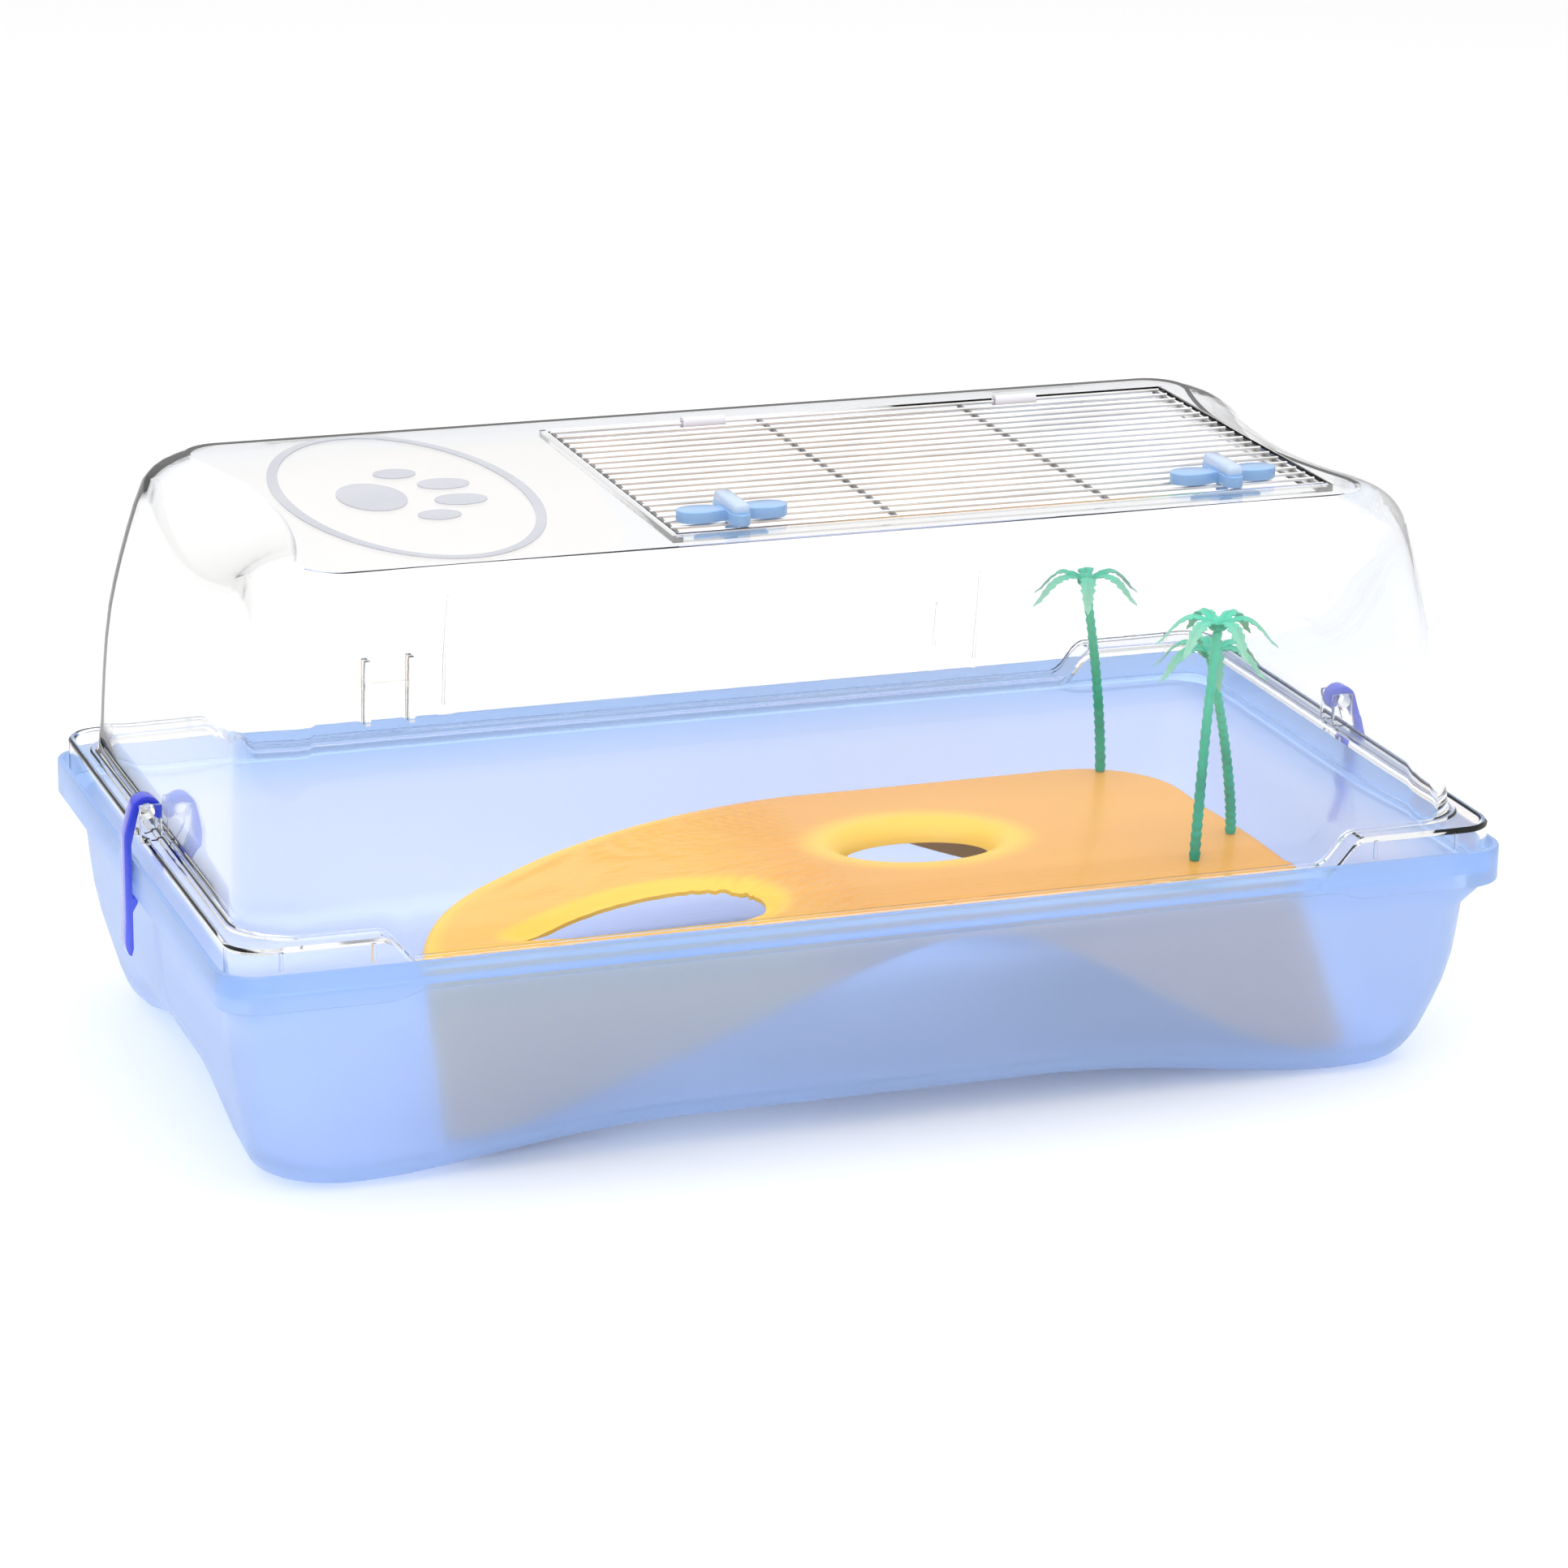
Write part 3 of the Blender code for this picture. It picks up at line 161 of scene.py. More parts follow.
def combine(piece: bpy.types.Object, tool_bm: bmesh.types.BMesh, operation: str) -> None:
    """Join a shape to a piece, or cut it away, for good.

    Args:
        piece: the piece to change.
        tool_bm: the shape, which is freed.
        operation: UNION or DIFFERENCE.
    """
    tool = make_piece(f"{piece.name}_tool", tool_bm, 30)
    boolean = piece.modifiers.new("combine", "BOOLEAN")
    boolean.operation = operation
    boolean.solver = "EXACT"
    boolean.object = tool
    settle(piece, 30)
    bpy.data.objects.remove(tool, do_unlink=True)


def add_box(bm: bmesh.types.BMesh, low: Point, high: Point, rounding: float = 0.0) -> None:
    """Add a closed box between two corners, its edges rounded if asked."""
    low_v, high_v = Vector(low), Vector(high)
    verts = bmesh.ops.create_cube(bm, size=1.0)["verts"]
    bmesh.ops.scale(bm, vec=high_v - low_v, verts=verts)
    bmesh.ops.translate(bm, vec=(low_v + high_v) / 2, verts=verts)
    if rounding:
        edges = list({edge for vert in verts for edge in vert.link_edges})
        bmesh.ops.bevel(bm, geom=edges, offset=rounding, segments=3, profile=0.5,
                        affect="EDGES", material=-1)


def add_rod(bm: bmesh.types.BMesh, start: Point, end: Point, radius: float, sides: int) -> None:
    """Add a closed round rod from one point to another."""
    start_v, end_v = Vector(start), Vector(end)
    along = end_v - start_v
    verts = bmesh.ops.create_cone(bm, cap_ends=True, segments=sides, radius1=radius,
                                  radius2=radius, depth=along.length)["verts"]
    turn = Vector((0, 0, 1)).rotation_difference(along).to_matrix()
    bmesh.ops.rotate(bm, cent=(0, 0, 0), matrix=turn, verts=verts)
    bmesh.ops.translate(bm, vec=(start_v + end_v) / 2, verts=verts)


def add_slab(bm: bmesh.types.BMesh, outline: Sequence[Point], offset: Point,
             rounding: float = 0.0) -> None:
    """Add an outline pulled into a slab, its rim edges rounded if asked."""
    face = bm.faces.new([bm.verts.new(point) for point in outline])
    pulled = bmesh.ops.extrude_face_region(bm, geom=[face])["geom"]
    verts = [item for item in pulled if isinstance(item, bmesh.types.BMVert)]
    bmesh.ops.translate(bm, vec=offset, verts=verts)
    if rounding:
        far = [item for item in pulled if isinstance(item, bmesh.types.BMFace)]
        rims = list({edge for side in (face, far[0]) for edge in side.edges})
        bmesh.ops.bevel(bm, geom=rims, offset=rounding, segments=3, profile=0.5,
                        affect="EDGES", clamp_overlap=True, material=-1)


def shaped(add: Callable[..., None], *sizes: object) -> bmesh.types.BMesh:
    """Start a shape with one box, rod or slab."""
    bm = bmesh.new()
    add(bm, *sizes)
    return bm


def oval(x: float, y: float, z: float, half_x: float, half_y: float, count: int) -> list[Point]:
    """Points round a level oval."""
    return [(x + half_x * math.cos(a), y + half_y * math.sin(a), z)
            for a in (k * math.tau / count for k in range(count))]


class Loft:
    """A skin pulled ring by ring from one closed outline."""

    def __init__(self, ring: Sequence[Point]) -> None:
        """Start the skin with its first ring."""
        self.bm = bmesh.new()
        self.place = self.bm.verts.layers.int.new("place")
        verts = [self.bm.verts.new(point) for point in ring]
        for k, vert in enumerate(verts):
            vert[self.place] = k
        self.edges = [self.bm.edges.new((verts[k - 1], verts[k])) for k in range(len(verts))]
        self.first = list(self.edges)

    def pull(self, ring: Sequence[Point]) -> None:
        """Extrude the last ring on to the next one."""
        made = bmesh.ops.extrude_edge_only(self.bm, edges=self.edges)["geom"]
        new = {item for item in made if isinstance(item, bmesh.types.BMVert)}
        for vert in new:
            vert.co = ring[vert[self.place]]
        self.edges = [item for item in made
                      if isinstance(item, bmesh.types.BMEdge) and set(item.verts) <= new]

    @classmethod
    def through(cls, rings: Sequence[Sequence[Point]], closed: bool = True) -> bmesh.types.BMesh:
        """Skin all rings, and fill the first and the last if closed."""
        loft = cls(rings[0])
        for ring in rings[1:]:
            loft.pull(ring)
        if closed:
            bmesh.ops.edgeloop_fill(loft.bm, edges=loft.first)
            bmesh.ops.edgeloop_fill(loft.bm, edges=loft.edges)
        return loft.bm


def tone(piece: bpy.types.Object, read: Callable[[Vector, Vector], float]) -> None:
    """Store on each point how far its colour goes to the finish's second colour.

    Args:
        piece: the piece to mark.
        read: gives 0 to 1 from a point's place and normal.
    """
    mesh = piece.data
    marks = mesh.attributes.new("tone", "FLOAT", "POINT")
    marks.data.foreach_set("value", [read(v.co, v.normal) for v in mesh.vertices])


def shade_level_faces_flat(piece: bpy.types.Object) -> bpy.types.Object:
    """Keep the roundings beside level faces from bending their gloss."""
    for face in piece.data.polygons:
        if abs(face.normal.z) > 0.9999:
            face.use_smooth = False
    return piece


def dress(piece: bpy.types.Object, material: bpy.types.Material, slot: str, body: Body,
          *nodes: str) -> bpy.types.Object:
    """Give a piece its material and body, and hide the nodes it stands for."""
    piece.data.materials.clear()
    piece.data.materials.append(material)
    if nodes:
        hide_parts(*nodes)
    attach(piece, body.value)
    log.info("%s: %d faces, rides on %s", piece.name, len(piece.data.polygons), body.value)
    return piece


# ---- finishes ------------------------------------------------------------------------------
def noise_effect(name: str, scale: float, output: str, stretch: Point, detail: float,
                 spread: tuple[float, float] | None = None) -> bpy.types.NodeTree:
    """Make an effect group of noise on object coordinates.

    Args:
        name: the group's name.
        scale: starting value of its Scale input.
        output: its output's name.
        stretch: how much finer the pattern is along each axis.
        detail: the noise's detail.
        spread: the noise's values that become 0 and 1, if it is spread.

    Returns:
        The node group.
    """
    tree = bpy.data.node_groups.new(name, "ShaderNodeTree")
    size = tree.interface.new_socket("Scale", in_out="INPUT", socket_type="NodeSocketFloat")
    size.default_value = scale
    tree.interface.new_socket(output, in_out="OUTPUT", socket_type="NodeSocketFloat")
    start, end = tree.nodes.new("NodeGroupInput"), tree.nodes.new("NodeGroupOutput")
    coordinates = tree.nodes.new("ShaderNodeTexCoord")
    mapping = tree.nodes.new("ShaderNodeMapping")
    mapping.inputs["Scale"].default_value = stretch
    noise = tree.nodes.new("ShaderNodeTexNoise")
    noise.inputs["Detail"].default_value = detail
    tree.links.new(coordinates.outputs["Object"], mapping.inputs["Vector"])
    tree.links.new(mapping.outputs["Vector"], noise.inputs["Vector"])
    tree.links.new(start.outputs["Scale"], noise.inputs["Scale"])
    found = noise.outputs["Fac"]
    if spread:
        ramp = tree.nodes.new("ShaderNodeMapRange")
        ramp.inputs["From Min"].default_value, ramp.inputs["From Max"].default_value = spread
        tree.links.new(found, ramp.inputs["Value"])
        found = ramp.outputs["Result"]
    tree.links.new(found, end.inputs[output])
    return tree


class Effects:
    """The effects that several finishes share, each made once."""

    def __init__(self) -> None:
        """Make slow streaks of molten plastic, fine mould grain and sparse rubbed patches."""
        self.flow = noise_effect("moulding_flow", 12.0, "Mask", (0.45, 1.0, 1.6), 3.0,
                                 (0.35, 0.65))
        self.grain = noise_effect("mould_grain", 900.0, "Height", (1.0, 1.0, 1.0), 4.0)
        self.rub = noise_effect("rubbed_patches", 30.0, "Mask", (1.0, 2.5, 1.0), 6.0,
                                (0.58, 0.72))

    @staticmethod
    def use(tree: bpy.types.NodeTree, group: bpy.types.NodeTree, scale: float) -> bpy.types.Node:
        """Place a group in a material at a scale."""
        node = tree.nodes.new("ShaderNodeGroup")
        node.node_tree = group
        node.inputs["Scale"].default_value = scale
        return node


@dataclass(frozen=True)
class Finish:
    """One finish: two close colours, gloss, clearness and relief."""

    name: str
    colour: Colour
    shade: Colour
    roughness: float
    relief: Relief
    transmission: float = 0.0
    metallic: float = 0.0
    ior: float = 1.5
    coat: float = 0.0
    subsurface: float = 0.0
    flow_scale: float = 12.0
    rub: float = 0.06
    second: Colour | None = None
    passes_light: Colour | None = None

    def grain(self) -> tuple[float, float]:
        """Scale and depth of the surface grain."""
        return {Relief.POLISHED: (260.0, 0.000004), Relief.SATIN: (900.0, 0.00002),
                Relief.FROSTED: (1500.0, 0.00005)}[self.relief]

    def material(self, effects: Effects) -> bpy.types.Material:
        """Build the material.

        Args:
            effects: the shared node groups.

        Returns:
            A material whose colour, roughness and normal vary over the surface.
        """
        made = bpy.data.materials.new(self.name)
        made.use_nodes = True
        tree = made.node_tree
        shader = tree.nodes["Principled BSDF"]
        for label, value in (("Metallic", self.metallic), ("IOR", self.ior),
                             ("Transmission Weight", self.transmission),
                             ("Coat Weight", self.coat), ("Coat Roughness", 0.08),
                             ("Subsurface Weight", self.subsurface),
                             ("Subsurface Radius", (0.004, 0.003, 0.002))):
            shader.inputs[label].default_value = value
        flow = Effects.use(tree, effects.flow, self.flow_scale)
        rub = Effects.use(tree, effects.rub, self.flow_scale * 3)
        scale, depth = self.grain()
        grain = Effects.use(tree, effects.grain, scale)

        mix = tree.nodes.new("ShaderNodeMix")
        mix.data_type = "RGBA"
        mix.inputs["A"].default_value = (*self.shade, 1.0)
        mix.inputs["B"].default_value = (*self.colour, 1.0)
        tree.links.new(flow.outputs["Mask"], mix.inputs["Factor"])
        colour = mix.outputs["Result"]
        if self.second:
            marks = tree.nodes.new("ShaderNodeAttribute")
            marks.attribute_name = "tone"
            blend = tree.nodes.new("ShaderNodeMix")
            blend.data_type = "RGBA"
            blend.inputs["B"].default_value = (*self.second, 1.0)
            tree.links.new(marks.outputs["Fac"], blend.inputs["Factor"])
            tree.links.new(colour, blend.inputs["A"])
            colour = blend.outputs["Result"]
        tree.links.new(colour, shader.inputs["Base Color"])

        gloss = tree.nodes.new("ShaderNodeMapRange")
        gloss.inputs["To Min"].default_value = self.roughness
        gloss.inputs["To Max"].default_value = self.roughness + self.rub
        tree.links.new(rub.outputs["Mask"], gloss.inputs["Value"])
        tree.links.new(gloss.outputs["Result"], shader.inputs["Roughness"])

        bump = tree.nodes.new("ShaderNodeBump")
        bump.inputs["Strength"].default_value = 0.6
        bump.inputs["Distance"].default_value = depth
        tree.links.new(grain.outputs["Height"], bump.inputs["Height"])
        tree.links.new(bump.outputs["Normal"], shader.inputs["Normal"])
        if self.passes_light:
            self.let_lamps_through(tree, shader)
        return made

    def let_lamps_through(self, tree: bpy.types.NodeTree, shader: bpy.types.Node) -> None:
        """Let lamps shine through the plastic, tinted, instead of casting a full shadow."""
        path = tree.nodes.new("ShaderNodeLightPath")
        clear = tree.nodes.new("ShaderNodeBsdfTransparent")
        clear.inputs["Color"].default_value = (*self.passes_light, 1.0)
        choose = tree.nodes.new("ShaderNodeMixShader")
        tree.links.new(path.outputs["Is Shadow Ray"], choose.inputs["Fac"])
        tree.links.new(shader.outputs["BSDF"], choose.inputs[1])
        tree.links.new(clear.outputs["BSDF"], choose.inputs[2])
        tree.links.new(choose.outputs["Shader"], tree.nodes["Material Output"].inputs["Surface"])


# The tray's second colour is painted light: a paler, lavender-white for the inner walls, standing in
# for the light and the hood's reflections that fall on them.
TRAY_FINISH = Finish("frosted_blue", (0.52, 0.70, 1.0), (0.47, 0.66, 0.99), 0.30,
                     Relief.FROSTED, transmission=0.72, ior=1.4, flow_scale=7.0,
                     second=(0.80, 0.81, 0.97), passes_light=(0.87, 0.90, 0.97))
HOOD_FINISH = Finish("clear_styrene", (0.99, 0.992, 0.995), (0.975, 0.98, 0.985), 0.02,
                     Relief.POLISHED, transmission=1.0, ior=1.4, flow_scale=6.0, rub=0.03,
                     passes_light=(0.97, 0.97, 0.98))
EMBLEM_FINISH = Finish("frosted_print", (0.68, 0.69, 0.73), (0.62, 0.63, 0.68), 0.5,
                       Relief.FROSTED, transmission=0.35, passes_light=(0.9, 0.9, 0.92))
WIRE_FINISH = Finish("zinc_wire", (0.86, 0.85, 0.84), (0.62, 0.61, 0.60), 0.30,
                     Relief.SATIN, metallic=0.9, flow_scale=60.0, rub=0.2)
ROD_FINISH = Finish("zinc_rod", (0.34, 0.33, 0.33), (0.20, 0.20, 0.20), 0.38,
                    Relief.SATIN, metallic=0.9, flow_scale=60.0, rub=0.2)
# The knob's second colour is a painted highlight: a paler blue for the top of the raised grip.
KNOB_FINISH = Finish("pale_blue_gloss", (0.40, 0.64, 0.98), (0.34, 0.58, 0.94), 0.2,
                     Relief.POLISHED, transmission=0.25, coat=0.3, second=(0.66, 0.80, 1.0))
# The latch's second colour is painted light: a paler blue on the lower part of a latch that is one
# deep blue.
LATCH_FINISH = Finish("deep_blue_gloss", (0.010, 0.035, 0.74), (0.008, 0.025, 0.66), 0.16,
                      Relief.POLISHED, transmission=0.1, coat=0.4, second=(0.10, 0.14, 0.86))
CLIP_FINISH = Finish("natural_white", (0.80, 0.78, 0.84), (0.72, 0.70, 0.78), 0.35,
                     Relief.SATIN, subsurface=0.2)
# The island's second colour is a painted highlight: brighter yellow on the lips of the hole, the well
# and the arm, and a little over the sloping arm.
ISLAND_FINISH = Finish("sand_yellow", (0.84, 0.41, 0.06), (0.77, 0.36, 0.055), 0.36,
                       Relief.SATIN, coat=0.15, subsurface=0.1, flow_scale=9.0,
                       second=(0.98, 0.60, 0.05))
TRUNK_FINISH = Finish("trunk_green", (0.004, 0.42, 0.26), (0.003, 0.32, 0.20), 0.42,
                      Relief.SATIN, flow_scale=40.0, second=(0.16, 0.78, 0.52))
LEAF_FINISH = Finish("leaf_green", (0.09, 0.62, 0.42), (0.06, 0.50, 0.33), 0.40,
                     Relief.SATIN, flow_scale=40.0, subsurface=0.2, second=(0.34, 0.66, 0.50))


# ---- plan shared by the tray and the hood ----------------------------------------------------
@dataclass(frozen=True)
class Station:
    """One point's place on a rounded rectangle: on a straight side or on a corner's arc."""

    turn: int
    along: float | None
    angle: float


@dataclass(frozen=True)
class RimPlan:
    """The rounded rectangle that every ring of the tray and the hood follows."""

    half_x: float
    half_y: float
    corner_length: float = 0.066
    corner_ramp: float = 0.016
    crease_inset_y: float = 0.0496
    side_margin: float = 1.02
    side_share: float = 0.78
    long_count: int = 37
    ramp_count: int = 7
    short_count: int = 17
    arc_steps: int = 10

    @property
    def step_out(self) -> float:
        """Where the raised corner starts to fall, from the middle."""
        return self.half_x - self.corner_length

    @property
    def step_in(self) -> float:
        """Where the fall ends."""
        return self.step_out - self.corner_ramp

    @property
    def short_end(self) -> float:
        """Last station of a short side, from the middle."""
        return (self.half_y - self.crease_inset_y) * self.side_share

    def stations(self) -> list[Station]:
        """List the stations, from the front's left end round to it again."""
        ramp = evenly(self.step_in, self.step_out, self.ramp_count)[1:]
        long_side = ([-x for x in reversed(ramp)]
                     + evenly(-self.step_in, self.step_in, self.long_count) + ramp)
        short_side = evenly(-self.short_end, self.short_end, self.short_count)
        found = []
        for turn in range(4):
            start = (turn - 1) * math.pi / 2
            side = long_side if turn % 2 == 0 else short_side
            found += [Station(turn, along, start) for along in side]
            found += [Station(turn, None, start + k * math.pi / 2 / self.arc_steps)
                      for k in range(self.arc_steps + 1)]
        return found

    def point(self, station: Station, half_x: float, half_y: float,
              radius: float) -> tuple[float, float]:
        """Find a station on a rounded rectangle.

        Args:
            station: which point.
            half_x: half the rectangle's length.
            half_y: half its width.
            radius: its corners' radius.

        Returns:
            The point's x and y.
        """
        if station.along is None:
            side_x = 1 if station.turn in (0, 1) else -1
            side_y = 1 if station.turn in (1, 2) else -1
            return (side_x * (half_x - radius) + radius * math.cos(station.angle),
                    side_y * (half_y - radius) + radius * math.sin(station.angle))
        if station.turn % 2 == 0:
            fit = min(1.0, (half_x - radius) / (self.side_margin * self.step_out))
            side = 1 if station.turn == 0 else -1
            return side * station.along * fit, -side * half_y
        fit = min(1.0, (half_y - radius) / (self.side_margin * self.short_end))
        side = 1 if station.turn == 1 else -1
        return side * half_x, side * station.along * fit

    def inset(self, station: Station, inset_x: float, inset_y: float,
              radius: float) -> tuple[float, float]:
        """Find a station at an inset from the rim's outside."""
        return self.point(station, self.half_x - inset_x, self.half_y - inset_y, radius)

    def ring(self, inset_x: float, inset_y: float, radius: float,
             height: Callable[[Station], float]) -> list[Point]:
        """A ring at an inset from the rim's outside, its height read at each station."""
        return [(*self.inset(s, inset_x, inset_y, radius), height(s)) for s in self.stations()]

    def raised(self, station: Station) -> float:
        """Give 1 at the corners and the ends, and 0 along the middle of the long sides."""
        if station.along is None or station.turn % 2 == 1:
            return 1.0
        return smooth_step(abs(station.along), self.step_in, self.step_out)


# ---- tray ------------------------------------------------------------------------------------
@dataclass
class Tray:
    """Frosted tub with a rim band, a ledge and an arched floor on four feet."""

    plan: RimPlan
    rim_top: float
    band_height: float = 0.0155
    band_step: float = 0.0036
    band_undercut: float = 0.003
    band_wall: float = 0.0022
    ledge_depth: float = 0.0097
    ledge_inset: float = 0.0105
    wall: float = 0.0025
    waist_height: float = 0.045
    foot_inset: float = 0.031
    foot_radius: float = 0.030
    wall_radius: float = 0.024
    rim_radius: float = 0.016
    rim_round: float = 0.0008
    arch_long: float = 0.012
    arch_short: float = 0.015
    foot_span_x: tuple[float, float] = (0.29, 0.78)
    foot_span_y: tuple[float, float] = (0.19, 0.66)
    # height, inset and corner radius of the outer wall, from the foot's edge to the shoulder
    outer: tuple[tuple[float, float, float], ...] = (
        (0.0, 0.0310, 0.030), (0.0030, 0.0250, 0.030), (0.0095, 0.0205, 0.030),
        (0.018, 0.0180, 0.027), (0.045, 0.0115, 0.024), (0.0735, 0.0085, 0.024))
    outer_heights: tuple[float, ...] = (0.0004, 0.0012, 0.0022, 0.0038, 0.006, 0.0095, 0.014,
                                        0.020, 0.028, 0.038, 0.050, 0.062, 0.0735)
    floor_shares: tuple[float, ...] = (0.04, 0.15, 0.28, 0.42, 0.56, 0.70, 0.82, 0.93)

    def floor_rise(self, x: float, y: float) -> float:
        """How far the floor is arched up over the feet."""
        foot_x = smooth_step(abs(x), *(share * self.plan.half_x for share in self.foot_span_x))
        foot_y = smooth_step(abs(y), *(share * self.plan.half_y for share in self.foot_span_y))
        rise = self.arch_long + (self.arch_short - self.arch_long) * foot_x
        return rise * (1 - foot_x * foot_y)

    def ring(self, inset: float, height: float, radius: float, lift: float = 0.0,
             share: float = 1.0) -> list[Point]:
        """One ring of the tub; low rings follow the arched floor."""
        follow = 1 - smooth_step(height, 0.0, self.waist_height)
        found = []
        for station in self.plan.stations():
            x, y = self.plan.point(station, (self.plan.half_x - inset) * share,
                                   (self.plan.half_y - inset) * share, radius * share)
            found.append((x, y, height + lift + self.floor_rise(x, y) * follow))
        return found

    def band_ring(self, inset: float, radius: float) -> list[Point]:
        """A ring of the band's lower edge, which is higher along the long sides."""
        low = self.rim_top - self.band_height
        return self.plan.ring(inset, inset, radius,
                              lambda s: low + self.band_step * (1 - self.plan.raised(s)))

    def wall_ring(self, height: float, inner: bool) -> list[Point]:
        """A ring of the wall's outer or inner face."""
        inset = smooth_curve([(h, i) for h, i, _ in self.outer], height)
        radius = smooth_curve([(h, r) for h, _, r in self.outer], height)
        if not inner:
            return self.ring(inset, height, radius)
        steep = smooth_step(height, 0.0, 0.018)
        across = self.wall * (1.6 - 0.6 * steep)
        return self.ring(inset + across, height, radius - 0.002, self.wall * (1 - steep))

    def inner_painted_light(self, at: Vector, normal: Vector, ledge: float) -> float:
        """Give 1 on the faces that look into the tub, which are painted paler as painted light
        standing in for the light and the hood's reflections on the inner walls, and 0 on the band and
        outside.
        """
        inwards = -(normal.x * at.x / self.plan.half_x**2 + normal.y * at.y / self.plan.half_y**2)
        faces = inwards * self.plan.half_y + normal.z
        return smooth_step(faces, 0.0, 0.3) * (1 - smooth_step(at.z, ledge - 0.004, ledge))

    def build(self, material: bpy.types.Material) -> bpy.types.Object:
        """Make the tray."""
        ledge = self.rim_top - self.ledge_depth
        band_radius = self.rim_radius - 0.001
        rings = [self.ring(self.foot_inset, 0.0, self.foot_radius, share=s)
                 for s in self.floor_shares]
        rings.append(self.ring(self.foot_inset, 0.0, self.foot_radius))
        rings += [self.wall_ring(height, False) for height in self.outer_heights]
        rings += [
            self.band_ring(self.band_undercut, self.rim_radius),
            self.band_ring(self.rim_round, self.rim_radius),
            [(x, y, z + self.rim_round) for x, y, z in self.band_ring(0.0, self.rim_radius)],
            self.ring(0.0, self.rim_top - self.rim_round, self.rim_radius),
            self.ring(self.rim_round * 0.3, self.rim_top - self.rim_round * 0.3,
                      self.rim_radius),
            self.ring(self.rim_round, self.rim_top, self.rim_radius),
            self.ring(self.band_wall, self.rim_top, band_radius),
            self.ring(self.band_wall, ledge, band_radius),
            self.ring(self.ledge_inset - 0.0008, ledge, self.wall_radius - 0.002),
            self.ring(self.ledge_inset, ledge - 0.0008, self.wall_radius - 0.002),
        ]
        rings += [self.wall_ring(height, True) for height in reversed(self.outer_heights)]
        floor_inset = self.foot_inset + 1.6 * self.wall
        rings += [self.ring(floor_inset, 0.0, self.foot_radius, self.wall, s)
                  for s in reversed(self.floor_shares)]
        piece = make_piece("tray_tub", Loft.through(rings), 38)
        # Painted light: the faces within the tub are painted paler, standing in for the light and
        # reflections on them.
        tone(piece, lambda at, normal: self.inner_painted_light(at, normal, ledge))
        return dress(piece, material, "tray_plastic", Body.TRAY, "tray")


